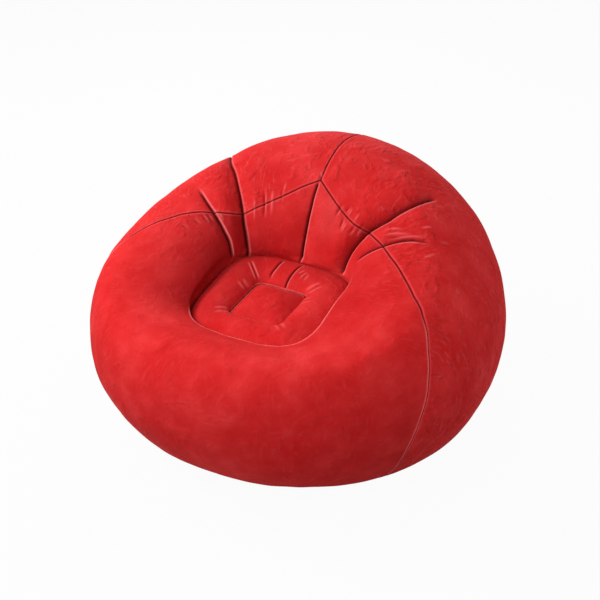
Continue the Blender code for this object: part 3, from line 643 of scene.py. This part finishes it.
def flockMaterial():
    s = Shader(bpy.data.materials.new("redFlock"))
    surface = s.tree.nodes["Principled BSDF"]
    place = s.node("ShaderNodeTexCoord", out=3)
    along = s.node("ShaderNodeUVMap", {"uv_map": "skinMap"})

    def noise(vector, scale, detail=2.0, rough=0.5, out=0):
        inputs = {"Vector": vector, "Scale": scale, "Detail": detail, "Roughness": rough}
        return s.node("ShaderNodeTexNoise", {}, inputs, out)

    def comb(scale):  # the pile brushed one way
        drawn = s.node("ShaderNodeMapping", {}, {0: along, 3: (*scale, 1)})
        return s.level(noise(drawn, 1.0), *flock["combRamp"])

    patch = noise(place, flock["patchScale"], 3)
    cloud = noise(place, flock["cloudScale"])
    fuzz = noise(place, flock["fuzzScale"], 2, 0.7)
    drift = s.vector("SUBTRACT", {0: noise(place, flock["warpScale"], out=1), 1: (0.5,) * 3})
    bent = s.vector("ADD", {0: place, 1: s.vector("SCALE", {0: drift, "Scale": flock["warp"] * 2})})

    def strokes(scale, low, high, at):  # short curved strokes in the pile: a step and the line along it
        field = noise(bent, scale, 1, 0.4)
        keep = s.level(noise(place, at, 1), low, high)
        off = s.node("ShaderNodeMath", {"operation": "ABSOLUTE"}, {0: field - 0.5})
        step = s.level(field, *flock["strokeStep"]) * keep
        return step, s.level(off, 0.0, flock["strokeLine"], 1.0, 0.0) * keep

    stroke, strokeLine = strokes(*flock["stroke"])
    fleck, fleckLine = strokes(*flock["fleck"])
    brushed = comb(flock["combScale"]) * s.level(patch, *flock["combPatch"])
    brushed = brushed + comb(flock["combScale"][::-1]) * s.level(patch, *flock["combAcross"])
    patches, clouds, fuzzes = flock["toneShares"]
    tone = s.level(patch * patches + cloud * clouds + fuzz * fuzzes, *flock["toneRamp"])
    stops = ((0.0, flock["deep"]), (1.0, flock["pale"]), (0.5, flock["main"]))
    body = s.node("ShaderNodeValToRGB", {"stops": stops}, {0: tone})
    worn = s.attribute("wornPile")
    height = s.node("ShaderNodeSeparateXYZ", {}, {0: place}, 2)
    dents = s.level(noise(bent, flock["dentScale"], 1, 0.4), *flock["dentRamp"])
    dents = dents * s.level(worn, *flock["dentWorn"]) * s.level(height, *flock["dentHeights"])
    lines, flecked, combed = flock["raised"]
    least, more = flock["unworn"]
    raised = (strokeLine * lines + fleckLine * flecked + brushed * combed) * (worn + least)
    body = s.mix(raised * flock["strokePale"], body, flock["lip"])
    # painted shade in the dents
    body = s.mix(dents * flock["dentDark"], body, flock["hollow"])
    # painted shade in the recess, below the widest line and on the seat
    body = s.mix(s.attribute("hollowShade") * flock["hollowShare"], body, flock["hollow"])
    # painted highlights on lips, welts, ridges and rolled edges
    body = s.mix(s.attribute("lipLight") * flock["lipShare"], body, flock["lip"])
    # painted shade in creases and along seams and edges
    body = s.mix(s.attribute("creaseShade") * flock["creaseShare"], body, flock["crease"])
    s.feed(surface.inputs["Base Color"], body)
    s.roughen(surface, cloud, flock["roughness"], flock["roughChange"])
    flecked, dented, lifted, clouds, fuzzes = flock["relief"]
    relief = (stroke + fleck * flecked - dents * dented) * (worn + more)
    relief = relief + raised * lifted + cloud * clouds + fuzz * fuzzes
    s.emboss(surface, relief, flock["bump"], flock["bumpHeight"])
    s.feed(surface.inputs["Specular IOR Level"], flock["gloss"])
    s.feed(surface.inputs["Sheen Weight"], flock["sheen"])
    s.feed(surface.inputs["Sheen Roughness"], flock["sheenRoughness"])
    s.feed(surface.inputs["Sheen Tint"], flock["sheenTint"])
    return s.owner


redFlock = flockMaterial()

valve = {
    "angle": 118.0, "level": 3.36, "flat": 0.054, "blend": 0.078, "skinWithin": 0.05,
    "opened": 0.037, "cuts": 2,
    "rings": (  # radius and height of the stamped weld rings, from the outside to the edge of the opening
        (0.0330, 0.0), (0.0322, 0.0005), (0.0290, 0.0005), (0.0282, 0.0), (0.0268, 0.0),
        (0.0260, 0.0005), (0.0240, 0.0005), (0.0232, 0.0), (0.0224, 0.0), (0.0224, -0.0003)),
}
valvePlace = smoothSkin(np.array([valve["angle"]]), np.array([valve["level"]]))[0]
valveOut = skinNormal(np.array([valve["angle"]]), np.array([valve["level"]]))[0]


def flattenedForValve(points):  # the skin lies flat where the valve is welded in
    away = points - valvePlace
    height = away @ valveOut
    reach = np.linalg.norm(away - height[:, None] * valveOut, axis=1)
    share = smoothStep((valve["blend"] - reach) / (valve["blend"] - valve["flat"]))
    share *= abs(height) < valve["skinWithin"]
    return points - valveOut * (height * share)[:, None]


def valveTurn():
    out = Vector(valveOut)
    across = Vector((0, 0, 1)).cross(out).normalized()
    turn = Matrix((across, out.cross(across), out)).transposed().to_4x4()
    return Matrix.Translation(Vector(valvePlace)) @ turn


def openForValve(bm):  # a round opening with stamped weld rings about it
    place, turn = Vector(valvePlace), valveTurn()

    def within(element, reach, test):
        return test((vert.co - place).length < reach for vert in element.verts)

    def outline():
        return [edge for edge in bm.edges if edge.is_boundary and within(edge, valve["flat"], all)]

    inside = [face for face in bm.faces if within(face, valve["opened"], any)]
    bmesh.ops.delete(bm, geom=inside, context="FACES")
    bmesh.ops.subdivide_edges(bm, edges=outline(), cuts=valve["cuts"])  # more corners for a round ring
    for radius, height in valve["rings"]:
        made = bmesh.ops.extrude_edge_only(bm, edges=outline())["geom"]
        for vert in [item for item in made if isinstance(item, bmesh.types.BMVert)]:
            flat = turn.inverted() @ vert.co
            flat.z = 0
            vert.co = turn @ (flat.normalized() * radius + Vector((0, 0, height)))
    bmesh.ops.recalc_face_normals(bm, faces=bm.faces)


panels = {
    "fine": (  # middle, reach, step
        (91.5, 3, 0.26), (50.7, 5.8, 0.24), (135.2, 3.5, 0.24), (35, 9.5, 0.28), (149, 4.5, 0.28),
        (66, 18, 0.38), (118, 12, 0.38)),
    "plainStep": 1.0, "frontRows": 150, "backRows": 124, "fill": 0.9,
    "extraRows": 2.2, "extraLevels": ((1.7, 0.38), (1.1, 0.12)),
    "mapRadius": 0.45, "flankFrom": 0.42,
}

recess = {  # painted shade in the recess and below the widest line, a painted highlight on the back wall, and where the pile is brushed up
    "turnedBack": (-0.7, 0.6), "besideArms": (0.6, 0.95), "farWall": (0.55, 0.90), "farHalf": (78, 108),
    "levels": (1.72, 0.87), "share": (0.10, 0.45, 0.25), "farLevels": (1.92, 1.17), "farShare": 0.95,
    "foot": (0.9, 0.4), "footLess": 0.8,
    # a painted highlight on the back wall
    "paleAt": (76, 10), "paleFrom": (1.1, 1.4), "paleTo": (1.62, 1.50), "pale": 0.12,
    # painted shade below the widest line
    "belly": (3.0, 0.35), "bellyDark": 0.25,
    "worn": (0.35, 0.55), "wornLevels": (1.25, 1.65), "wornBack": (-0.1, 0.4),
}

roll = {  # the front edge of the recess rolls over into the groove, a small ridge with a painted highlight and painted shade at the groove: angle and distance from the groove
    "path": ((-175, 0.0405), (-140, 0.0405), (-120, 0.0395), (-80, 0.0460), (-60, 0.0500),
             (-40, 0.0460), (-20, 0.0540), (0, 0.0590), (30, 0.0570)),
    "past": 0.0015, "width": 0.0024, "height": 0.0022, "middle": -55, "span": (95, 80), "seam": 0.0014,
}


def recessShadeHighlightAndWear(angle, level):
    back = ramp(sine(angle), *recess["turnedBack"]) * ramp(angle, *recess["farHalf"])
    side = ramp(abs(cosine(angle)), *recess["besideArms"])
    far = ramp(-cosine(angle), *recess["farWall"])
    low = 1 - recess["footLess"] * ramp(level, *recess["foot"])
    even, behind, beside = recess["share"]
    # painted shade, deepest at the back and beside the arms, less at the foot of the wall
    hollow = ramp(level, *recess["levels"]) * np.clip(even + behind * back + beside * side, 0, 1) * low
    # painted shadow on the wall at the sitter's right
    hollow = np.maximum(hollow, far * recess["farShare"] * ramp(level, *recess["farLevels"]) * low)
    # painted shade below the widest line
    hollow += recess["bellyDark"] * bell(level - recess["belly"][0], recess["belly"][1])
    middle, reach = recess["paleAt"]
    # painted highlight on the back wall
    pale = bell(angle - middle, reach) * ramp(level, *recess["paleFrom"]) * ramp(level, *recess["paleTo"])
    least, more = recess["worn"]
    # where the pile is brushed up, for the texture
    worn = least + more * ramp(level, *recess["wornLevels"]) * ramp(sine(angle), *recess["wornBack"])
    return hollow, recess["pale"] * pale, worn


# where the rolled edge lies, for its ridge and its painted highlight
def rolledEdge(angle, fromGroove):
    places, distances = zip(*roll["path"])
    ends = ramp(abs(halfTurn(angle - roll["middle"])), *roll["span"])
    away = fromGroove - np.interp(halfTurn(angle), places, distances) - roll["past"]
    return ends * bell(away, roll["width"])


def crowdedRows(level):
    near = sum(bell(level - middle, reach) for middle, reach in panels["extraLevels"])
    return 1 + panels["extraRows"] * near


def outOfFlank(place):
    return Vector((place.x, place.y, 0)) if place.xy.length > panels["flankFrom"] else Vector()


def makePanel(name, start, end, front):
    angles = columnAngles(start, end, panels["plainStep"], panels["fine"])
    seamAt, bottom = seamLevel(angles), np.full(len(angles), 4.0)
    first, last = (np.zeros(len(angles)), seamAt) if front else (seamAt, bottom)
    rows = panels["frontRows"] if front else panels["backRows"]
    levels, travel = rowLevels(smoothSkin, angles, first, last, rows, skin["gap"] / 2, crowdedRows)
    levels, travel, hem = withSkirts(levels, travel)
    right = start > 0  # the sitter's right back panel, which has the valve
    if not front:  # a hem along the centre-back seam too
        columns = np.r_[0, 0, :len(angles)] if right else np.r_[:len(angles), -1, -1]
        angles, levels, travel = angles[columns], levels[columns], travel[columns]
    mesh, column, row = gridMesh(name, len(angles) - 1, levels.shape[1] - 1)
    angle, level = angles[column], levels[column, row]
    fromGroove, drop = travel[column, row], hem[row]
    if not front:
        count = column if right else len(angles) - 1 - column
        drop = np.maximum(drop, np.where(count < 2, skin["hem"] * (2 - count) / 2, 0))
        angle = np.where(count < 3, 90 + (0.01 if right else -0.01), angle)
    points, shade, light = shapedSkin(angle, level, front)
    inward = -skinNormal(angle, level)
    if front:  # the groove edge turns down beside its web
        outward = unit(points * (1, 1, 0) - np.array([0, seat["centreY"], 0]))
        groove = unit(outward * skin["hemLean"] + np.array([0, 0, -1]))
        inward = np.where((row < 2)[:, None], groove, inward)
    points += inward * drop[:, None]
    if right:
        points = flattenedForValve(points)
    hollow, worn = 0.0, 1.0
    if front:
        # painted shade and highlight in the recess, and where the pile is brushed up
        hollow, pale, worn = recessShadeHighlightAndWear(angle, level)
        # the rolled front edge: a small ridge with a painted highlight; painted shade along the groove
        rolled = rolledEdge(angle, fromGroove)
        points += skinNormal(angle, level) * roll["height"] * rolled[:, None]
        light = np.maximum(np.maximum(light, pale), rolled)
        shade = np.maximum(shade, bell(fromGroove, roll["seam"]))
    setPlaces(mesh, points, np.radians(angle) * panels["mapRadius"], fromGroove, shade, light, hollow, worn)
    return finishPiece(name, mesh, redFlock, skin["wall"], outOfFlank, openForValve if right else None)


seat = {
    "halfSize": 0.074, "centreY": -0.142, "middleHeight": 0.400, "slope": 0.157531, "crown": 0.010,
    "squareness": 9.0, "ringCrown": 0.030, "ringFullness": 0.52, "ringRows": 46, "ringStep": 0.75,
    "ringFine": ((104, 18, 0.45), (86, 6, 0.45), (136, 5, 0.45), (71, 6, 0.45)),
    "grooveEdge": (0.0026, 0.004), "squareEdge": (0.0022, 0.0036), "centreEdge": (0.0018, 0.0030),
    "centreCells": 60, "fill": 0.85, "mapRadius": 0.14,
}
frontSkin = makePanel("frontSkin", -90.0, 270.0, True)
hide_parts("front_panel")
leftBackSkin = makePanel("leftBackSkin", rimSeam["start"], 90.0, False)
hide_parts("back_panel_left")
rightBackSkin = makePanel("rightBackSkin", 90.0, rimSeam["end"], False)
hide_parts("back_panel_right")
print("skin panels made")


def squareEdge(angle, share=1.0):
    across, along = cosine(angle), sine(angle)
    n = seat["squareness"]
    reach = seat["halfSize"] * share / (abs(across) ** n + abs(along) ** n) ** (1 / n)
    x, y = across * reach, along * reach
    height = seat["middleHeight"] + y * seat["slope"] + seat["crown"] * (1 - share ** 2)
    return np.stack([x, seat["centreY"] + y, height], -1)


def smoothRing(angle, share):
    outer, inner = linePoint(grooveLine, angle), squareEdge(angle)
    place = outer + (inner - outer) * share[..., None]
    place[..., 2] += seat["ringCrown"] * np.maximum(np.sin(pi * share), 0) ** seat["ringFullness"]
    return place


def ringNormal(angle, share):
    share = np.clip(share, 0.02, 0.98)
    around = smoothRing(angle + 0.5, share) - smoothRing(angle - 0.5, share)
    inward = smoothRing(angle, share + 0.01) - smoothRing(angle, share - 0.01)
    normal = np.cross(inward, around)
    return unit(normal) * np.sign(normal[..., 2:3])


ringMarks = (
    crease((104, 0.30), (110, 0.64), (115.5, 0.82), (119, 0.96),
           depth=0.0040, width=0.0026, lips=(0.0012, 0.0), dark=1.0, core=0.0026, fade=(0.15, 0.30)),
    crease((84.5, 0.22), (85.5, 0.70), (86, 1.0),
           depth=0.0040, width=0.0026, lips=(0.0010, 0.0), dark=1.0, core=0.0026, fade=(0.15, 0.02)),
    crease((136, 0.40), (136.5, 0.74), (136, 0.97),
           depth=0.0022, width=0.0024, lips=(0.0012, 0.0010), dark=0.6, fade=(0.35, 0.15)),
    *(crease((angle0, share0), (angle1, share1), depth=deep, width=wide,
             lips=(lip, lip), dark=dark, fade=(0.4, end))
      for angle0, share0, angle1, share1, deep, wide, lip, dark, end in (
          (75, 0.70, 72.5, 0.50, 0.0014, 0.003, 0.0008, 0.1, 0.4),
          (66.5, 0.80, 69.5, 0.55, 0.0014, 0.003, 0.0008, 0.1, 0.4),
          (44, 0.62, 45, 0.97, 0.0020, 0.004, 0.0008, 0.2, 0.2),
          (-46, 0.60, -45, 0.97, 0.0016, 0.004, 0.0006, 0.1, 0.2),
          (-134, 0.60, -135, 0.97, 0.0016, 0.004, 0.0006, 0.1, 0.2),
          (20, 0.70, 18, 0.97, 0.0012, 0.004, 0.0006, 0.1, 0.2),
          (160, 0.72, 161, 0.97, 0.0012, 0.004, 0.0006, 0.1, 0.2))),
)

# nearDark and the hollows are painted shade on the ring, the lights painted highlights
ring = {
    "soft": (0.0010, 0.09, 21), "softEnds": 0.15, "seam": 0.0016,
    "nearSide": (0.6, 0.8), "nearDark": 0.9,
    "nearLight": (0.6, 0.0042, 0.0020), "farLight": (0.85, 0.0016, 0.0016),
    "aheadSide": (0.6, 0.8), "rolled": (0.0012, 0.0085, 0.0022), "rolledLight": 0.6,
    "grooveHollow": (0.25, 0.006), "backHollow": (0.45, 0.1, 0.9), "farHollow": (0.42, 0.35, 0.80),
}


def makeRing():
    angles = columnAngles(-90.0, 270.0, seat["ringStep"], seat["ringFine"])
    ones = np.ones(len(angles))
    shares, travel = rowLevels(smoothRing, angles, ones * 0, ones, seat["ringRows"], skin["gap"] / 2)
    full = travel[:, -1]
    shares, travel, hem = withSkirts(shares, travel)
    mesh, column, row = gridMesh("seatRing", len(angles) - 1, shares.shape[1] - 1)
    angle, share = angles[column], shares[column, row]
    points = smoothRing(angle, share)
    height, size, seed = ring["soft"]
    ends = smoothStep(share / ring["softEnds"]) * smoothStep((1 - share) / ring["softEnds"])
    lift = height * softField(points, size, seed) * ends
    shade, light = np.zeros(len(points)), np.zeros(len(points))
    for mark in ringMarks:
        applyMark(points, mark, smoothRing, ringNormal, lift, shade, light)
    fromGroove, fromSquare = travel[column, row], full[column] - travel[column, row]
    near = ramp(cosine(angle), *ring["nearSide"])  # the edge of the square at the sitter's left
    # both edges sink, with painted shade along the groove and along the square's edge at the sitter's left
    edges = ((fromGroove, 1.0, seat["grooveEdge"]), (fromSquare, ring["nearDark"] * near, seat["squareEdge"]))
    for away, dark, (deep, wide) in edges:
        lift -= deep * np.exp(-away / wide)
        shade = np.maximum(shade, dark * bell(away, ring["seam"]))
    # painted highlights along the square's edge
    for side, (bright, at, wide) in ((near, ring["nearLight"]), (1 - near, ring["farLight"])):
        light = np.maximum(light, bright * side * bell(fromSquare - at, wide))
    # the front of the ring rolls over at the square: a ridge with a painted highlight
    high, at, wide = ring["rolled"]
    rolled = ramp(-sine(angle), *ring["aheadSide"]) * bell(fromSquare - at, wide)
    lift += high * rolled
    light = np.maximum(light, ring["rolledLight"] * rolled)
    points = points + ringNormal(angle, share) * lift[:, None]
    toMiddle = unit(np.array([0, seat["centreY"], 0]) - points * (1, 1, 0))
    lean = np.where((row < 2)[:, None], toMiddle, -toMiddle) * skin["hemLean"] - np.array([0, 0, 1])
    points += unit(lean) * hem[row][:, None]
    # painted shade at the groove, at the back and on the sitter's right side
    dark, reach = ring["grooveHollow"]
    hollow = dark * np.exp(-fromGroove / reach)
    dark, *span = ring["backHollow"]
    hollow += dark * ramp(sine(angle), *span) * (1 - share)
    dark, *span = ring["farHollow"]
    hollow += dark * ramp(-cosine(angle), *span)
    across = np.radians(angle) * seat["mapRadius"]
    setPlaces(mesh, points, across, travel[column, row], shade, light, np.clip(hollow, 0, 1))
    piece = finishPiece("seatRing", mesh, redFlock, skin["wall"], lambda place: Vector((0, 0, 1)))
    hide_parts("seat_ring_panel")
    return piece


# seam is painted shade, light a painted highlight, hollow painted shade on the square
centre = {
    "closer": 1.25, "soft": (0.0006, 0.05, 31), "softFrom": 0.02, "cornerDrop": 0.0016, "seam": (0.9, 0.0016),
    "light": (0.95, 0.0014, 0.0018), "lightTo": (0.95, 0.85),
    "hollow": (0.5, 0.86, 0.5), "hollowSpan": (-0.05, 0.85),
}


def makeCentre():
    halfSize = seat["halfSize"]
    mesh, u, v, share, angle = squareGrid("seatCentre", seat["centreCells"])
    share = 1 - (1 - share) ** centre["closer"]  # closer rows beside the edge
    points = squareEdge(angle, share * (1 - skin["gap"] / 2 / halfSize))
    away = (1 - share) * halfSize
    deep, wide = seat["centreEdge"]
    height, size, seed = centre["soft"]
    points[:, 2] += (height * softField(points, size, seed) * smoothStep(away / centre["softFrom"])
                     - deep * np.exp(-away / wide) - centre["cornerDrop"] * abs(u * v) ** 3)
    # painted shade along the square's edge at the sitter's left
    dark, width = centre["seam"]
    shade = dark * bell((1 - u) * halfSize, width)
    # a painted highlight just inside the other edges
    bright, at, width = centre["light"]
    light = bright * bell(away - at, width) * ramp(u, *centre["lightTo"])
    # painted shade towards the sitter's left and the back of the square
    dark, across, along = centre["hollow"]
    hollow = dark * ramp(u * across + v * along, *centre["hollowSpan"])
    setPlaces(mesh, points, u * halfSize, v * halfSize, shade, light, hollow)
    piece = finishPiece("seatCentre", mesh, redFlock, skin["wall"], lambda place: Vector((0, 0, 1)))
    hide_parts("seat_centre_panel")
    return piece


seatRing, seatCentre = makeRing(), makeCentre()
print("seat made")

base = {
    "cells": 64, "inset": 0.0006, "reach": 0.3, "fill": 0.9, "seam": 0.004, "raised": (0.0022, 0.008),
    "wrinkle": 0.0010, "wrinkleReach": 0.016, "wrinkles": 64, "wrinkleDrift": (2, 5), "wrinkleFrom": 0.01,
}


def makeBase():
    mesh, u, v, share, angle = squareGrid("baseSkin", base["cells"])
    middle = np.array([0.0, (baseLine[2] - baseLine[1]) / 2, 0.0])
    points = middle + (linePoint(baseLine, angle) - middle) * (share * (1 - base["inset"]))[:, None]
    away = (1 - share) * base["reach"]
    drift, turns = base["wrinkleDrift"]
    wave = 0.5 + 0.5 * np.sin(np.radians(angle) * base["wrinkles"] + drift * sine(angle * turns))
    fade = smoothStep(away / base["wrinkleFrom"])
    points[:, 2] = base["wrinkle"] * wave * bell(away, base["wrinkleReach"]) * fade
    height, width = base["raised"]
    points[:, 2] += height * np.exp(-away / width)
    # painted shade along the base edge
    setPlaces(mesh, points, points[:, 0], points[:, 1], bell(away, base["seam"]), 0.0)
    piece = finishPiece("baseSkin", mesh, redFlock, skin["wall"], lambda place: Vector((0, 0, -1)))
    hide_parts("base_panel")


makeBase()
print("base made")

webs = {
    "wall": 0.0004, "clear": 0.0030, "beside": (-2.0, -1.2, -0.6, 0.0, 0.6, 1.2, 2.0), "foot": 0.0011,
    "waist": 0.30, "span": (1.25, 2.25), "hem": 0.012, "weldMargin": 1.08, "footShare": 0.90,
    "rows": 30, "columns": 34, "ripple": 0.0012, "rippleSize": 0.09, "mapWidth": 0.3,
    "arms": (("centreWeb", "centre_web", 90.0), ("backWebLeft", "back_web_left", 45.0),
             ("backWebRight", "back_web_right", 135.0), ("armWebLeft", "arm_web_left", 30.0),
             ("armWebRight", "arm_web_right", 150.0)),
}
band = {
    "holes": (-62.5, 9.0, 171.0, 242.5), "holeRadius": 0.022, "rows": 44, "columns": 300, "drop": 0.0085,
}
ties = {
    "drop": 0.0095, "span": 37.8, "waist": 0.12, "rows": 24,
    "sides": (("tieBack", "seat_tie_back", 90.0), ("tieFront", "seat_tie_front", -90.0),
              ("tieLeft", "seat_tie_left", 0.0), ("tieRight", "seat_tie_right", 180.0)),
}


def hungSheet(name, node, tops, feet, waist, rows, closed=False, detail=None):
    columns = len(tops) - 1
    mesh, column, row = gridMesh(name, columns, rows)
    down = row / rows
    share = 0.5 + (column / columns - 0.5) * (1 - waist * np.sin(pi * down))
    at = np.linspace(0, 1, columns + 1)
    top, foot = (np.stack([np.interp(share, at, edge[:, k]) for k in range(3)], 1) for edge in (tops, feet))
    points = top + (foot - top) * down[:, None]
    if not closed:
        side = unit(np.cross(tops[-1] - tops[0], [0, 0, 1]))
        ripple = webs["ripple"] * softField(points, webs["rippleSize"], len(name)) * np.sin(pi * down)
        points += side * ripple[:, None]
    setPlaces(mesh, points, share * webs["mapWidth"], top[:, 2] * down, 0.0, 0.0)
    piece = finishPiece(name, mesh, innerVinyl, webs["wall"], detail=detail, offset=0.0)
    tall = float((tops[:, 2].max() - feet[:, 2].min()) * webs["weldMargin"])
    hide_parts(node)


def makeWeb(name, node, angle):
    level = np.linspace(*webs["span"], webs["columns"] + 1)
    around = np.full(level.shape, angle)
    normal = skinNormal(around, level)
    turned = (around + np.array(webs["beside"])[:, None]).ravel()
    levels = np.tile(level, len(webs["beside"]))
    move = (shapedSkin(turned, levels)[0] - smoothSkin(turned, levels)).reshape(-1, len(level), 3)
    deepest = np.einsum("kij,ij->ki", move, normal).min(0)
    tops = smoothSkin(around, level) + normal * (deepest - skin["wall"] - webs["clear"])[:, None]
    flat = tops * (1, 1, 0)
    start = flat[0] + unit(flat[-1] - flat[0]) * webs["hem"]
    crest = linePoint(crestLine, np.array([angle]))[0]
    halfWidth, front, back = baseLine[:3]
    along = (crest[1] - (back - front) / 2) / ((front + back) / 2)
    facing = np.degrees(np.arctan2(along, crest[0] / halfWidth))
    end = start + (linePoint(baseLine, np.array([facing]))[0] * (1, 1, 0) - start) * webs["footShare"]
    share = np.linalg.norm(flat - flat[0], axis=1) / np.linalg.norm(flat[-1] - flat[0])
    feet = start + (end - start) * share[:, None] + np.array([0, 0, webs["foot"]])
    hungSheet(name, node, tops, feet, webs["waist"], webs["rows"])


def bandFoot(angle):  # the line where the groove's band meets the base
    halfWidth, front = (min(leanLine[k], baseLine[k] - webs["hem"]) for k in (0, 1))
    return linePoint((halfWidth, front, grooveLine[2], *[webs["foot"]] * 3, 2.0, 0.0), angle)


def openAirHoles(bm):  # round holes that let the air through the band
    places, radius = np.array(band["holes"]), band["holeRadius"]
    for place, foot in zip(linePoint(grooveLine, places), bandFoot(places)):
        middle = Vector((place + foot) / 2)
        inside = [f for f in bm.faces if (f.calc_center_median() - middle).length < radius]
        bmesh.ops.delete(bm, geom=inside, context="FACES")
        for vert in bm.verts:
            if vert.is_boundary and (vert.co - middle).length < radius * 1.5:
                vert.co = middle + (vert.co - middle).normalized() * radius


def makeBand():
    angle = np.linspace(-90, 270, band["columns"] + 1)
    tops = linePoint(grooveLine, angle) - np.array([0, 0, band["drop"]])
    hungSheet("grooveWeb", "seat_groove_web", tops, bandFoot(angle), 0, band["rows"], True, openAirHoles)


def makeTie(name, node, facing):
    edge = squareEdge(np.linspace(facing - ties["span"], facing + ties["span"], ties["rows"] + 1))
    feet = edge * (1, 1, 0) + np.array([0, 0, webs["foot"]])
    hungSheet(name, node, edge - np.array([0, 0, ties["drop"]]), feet, ties["waist"], ties["rows"])


plastics = {
    "innerVinyl": {"colour": (0.60, 0.58, 0.54), "roughness": 0.5},
    "clearValve": {"colour": (0.78, 0.78, 0.76), "roughness": 0.34},
    "blackRubber": {"colour": (0.045, 0.045, 0.047), "roughness": 0.55},
}
grain = {"cloudScale": 90, "scale": 1500, "darker": 0.86, "change": 0.06, "strength": 0.12, "height": 0.0003}


def plasticMaterial(title):
    colour, rough = plastics[title]["colour"], plastics[title]["roughness"]
    s = Shader(bpy.data.materials.new(title))
    surface = s.tree.nodes["Principled BSDF"]
    place = s.node("ShaderNodeTexCoord", out=3)
    cloud = s.node("ShaderNodeTexNoise", {}, {"Vector": place, "Scale": grain["cloudScale"], "Detail": 4})
    fine = s.node("ShaderNodeTexNoise", {}, {"Vector": place, "Scale": grain["scale"], "Detail": 2})
    darker = tuple(c * grain["darker"] for c in colour)
    s.feed(surface.inputs["Base Color"], s.mix(cloud, (*darker, 1), (*colour, 1)))
    s.roughen(surface, cloud, rough, grain["change"])
    s.emboss(surface, fine, grain["strength"], grain["height"])
    return s.owner


innerVinyl, clearValve, blackRubber = (plasticMaterial(title) for title in plastics)
for arm in webs["arms"]:
    makeWeb(*arm)
makeBand()
for side in ties["sides"]:
    makeTie(*side)
print("webs and ties made")

for title, node in frame["nodes"].items():
    if "web" in title or "tie" in title or title == "valve_patch":
        finish = innerVinyl
    elif title == "valve_gasket":
        finish = blackRubber
    else:
        finish = clearValve
    node.data.materials.clear()
    node.data.materials.append(finish)
print("materials on the remaining nodes")

studio = {
    "azimuth": 31.08, "elevation": 28.33, "target": (0.0, 0.00535, 0.33), "distance": 3.982,
    "lens": 92.67, "shift": (0.00296, 0.00977), "roll": -0.0066, "sensor": 36.0, "far": 60,
    "ambient": 0.34, "floorColour": 0.50, "floorGlow": 0.955, "floorRough": 0.9,
    "floorSize": 30, "floorDrop": 0.0006,
    "lampAim": (0, 0, 0.35),
    "lamps": {  # place, size, power
        "keyLamp": ((-2.5, -0.9, 2.1), 1.7, 70), "fillLamp": ((0.3, -2.5, 2.4), 1.7, 44),
        "rimLamp": ((2.4, 2.0, 0.8), 1.2, 20), "backLamp": ((-1.8, 2.2, 2.0), 1.7, 44),
    },
}
white = (1, 1, 1, 1)


def addObject(name, data):
    added = bpy.data.objects.new(name, data)
    bpy.context.scene.collection.objects.link(added)
    added.rotation_mode = "QUATERNION"
    return added


def makeCamera():
    az, el = radians(studio["azimuth"]), radians(studio["elevation"])
    back = Vector((sin(az) * cos(el), -cos(az) * cos(el), sin(el)))
    data = bpy.data.cameras.new("photoCamera")
    data.lens, data.sensor_width, data.clip_end = studio["lens"], studio["sensor"], studio["far"]
    data.shift_x, data.shift_y = studio["shift"]
    camera = addObject("photoCamera", data)
    camera.location = Vector(studio["target"]) + back * studio["distance"]
    turn = Matrix.Rotation(studio["roll"], 3, "Z").to_quaternion()
    camera.rotation_quaternion = (-back).to_track_quat("-Z", "Y") @ turn
    bpy.context.scene.camera = camera


def raysThatSee(s):  # the rays that meet the white background: from the camera, off gloss and through glass
    path = s.tree.nodes.new("ShaderNodeLightPath")
    seen = [Wire(s, path.outputs[f"Is {kind} Ray"]) for kind in ("Camera", "Glossy", "Transmission")]
    return seen[0] + seen[1] + seen[2]


def makeFloor():
    bm = bmesh.new()
    bmesh.ops.create_grid(bm, x_segments=1, y_segments=1, size=studio["floorSize"])
    bmesh.ops.translate(bm, verts=bm.verts, vec=(0, 0, -studio["floorDrop"]))
    mesh = bpy.data.meshes.new("floor")
    bm.to_mesh(mesh)
    bm.free()
    addObject("floor", mesh)
    s = Shader(bpy.data.materials.new("paleFloor"))
    surface = s.tree.nodes["Principled BSDF"]
    s.feed(surface.inputs["Base Color"], (*[studio["floorColour"]] * 3, 1))
    s.feed(surface.inputs["Roughness"], studio["floorRough"])
    s.feed(surface.inputs["Specular IOR Level"], 0.0)
    glow = s.node("ShaderNodeEmission", {}, {"Color": white, "Strength": 1.0})
    parts = {0: raysThatSee(s) * studio["floorGlow"], 1: Wire(s, surface.outputs[0]), 2: glow}
    s.feed(s.tree.nodes["Material Output"].inputs["Surface"], s.node("ShaderNodeMixShader", {}, parts))
    mesh.materials.append(s.owner)


def makeWorld():
    bpy.context.scene.world = bpy.data.worlds.new("paleWorld")
    s = Shader(bpy.context.scene.world)
    soft = s.node("ShaderNodeBackground", {}, {"Color": white, "Strength": studio["ambient"]})
    seen = s.node("ShaderNodeBackground", {}, {"Color": white, "Strength": 1.0})
    both = s.node("ShaderNodeMixShader", {}, {0: raysThatSee(s), 1: soft, 2: seen})
    s.feed(s.tree.nodes["World Output"].inputs["Surface"], both)


def makeLamp(name, place, size, power):
    data = bpy.data.lights.new(name, "AREA")
    data.shape, data.size, data.energy = "DISK", size, power
    lamp = addObject(name, data)
    lamp.location = place
    lamp.rotation_quaternion = (Vector(studio["lampAim"]) - Vector(place)).to_track_quat("-Z", "Y")


makeCamera()
makeFloor()
makeWorld()
for name, look in studio["lamps"].items():
    makeLamp(name, *look)
bpy.context.scene.view_settings.view_transform = "Standard"
print("camera, lamps and floor made")
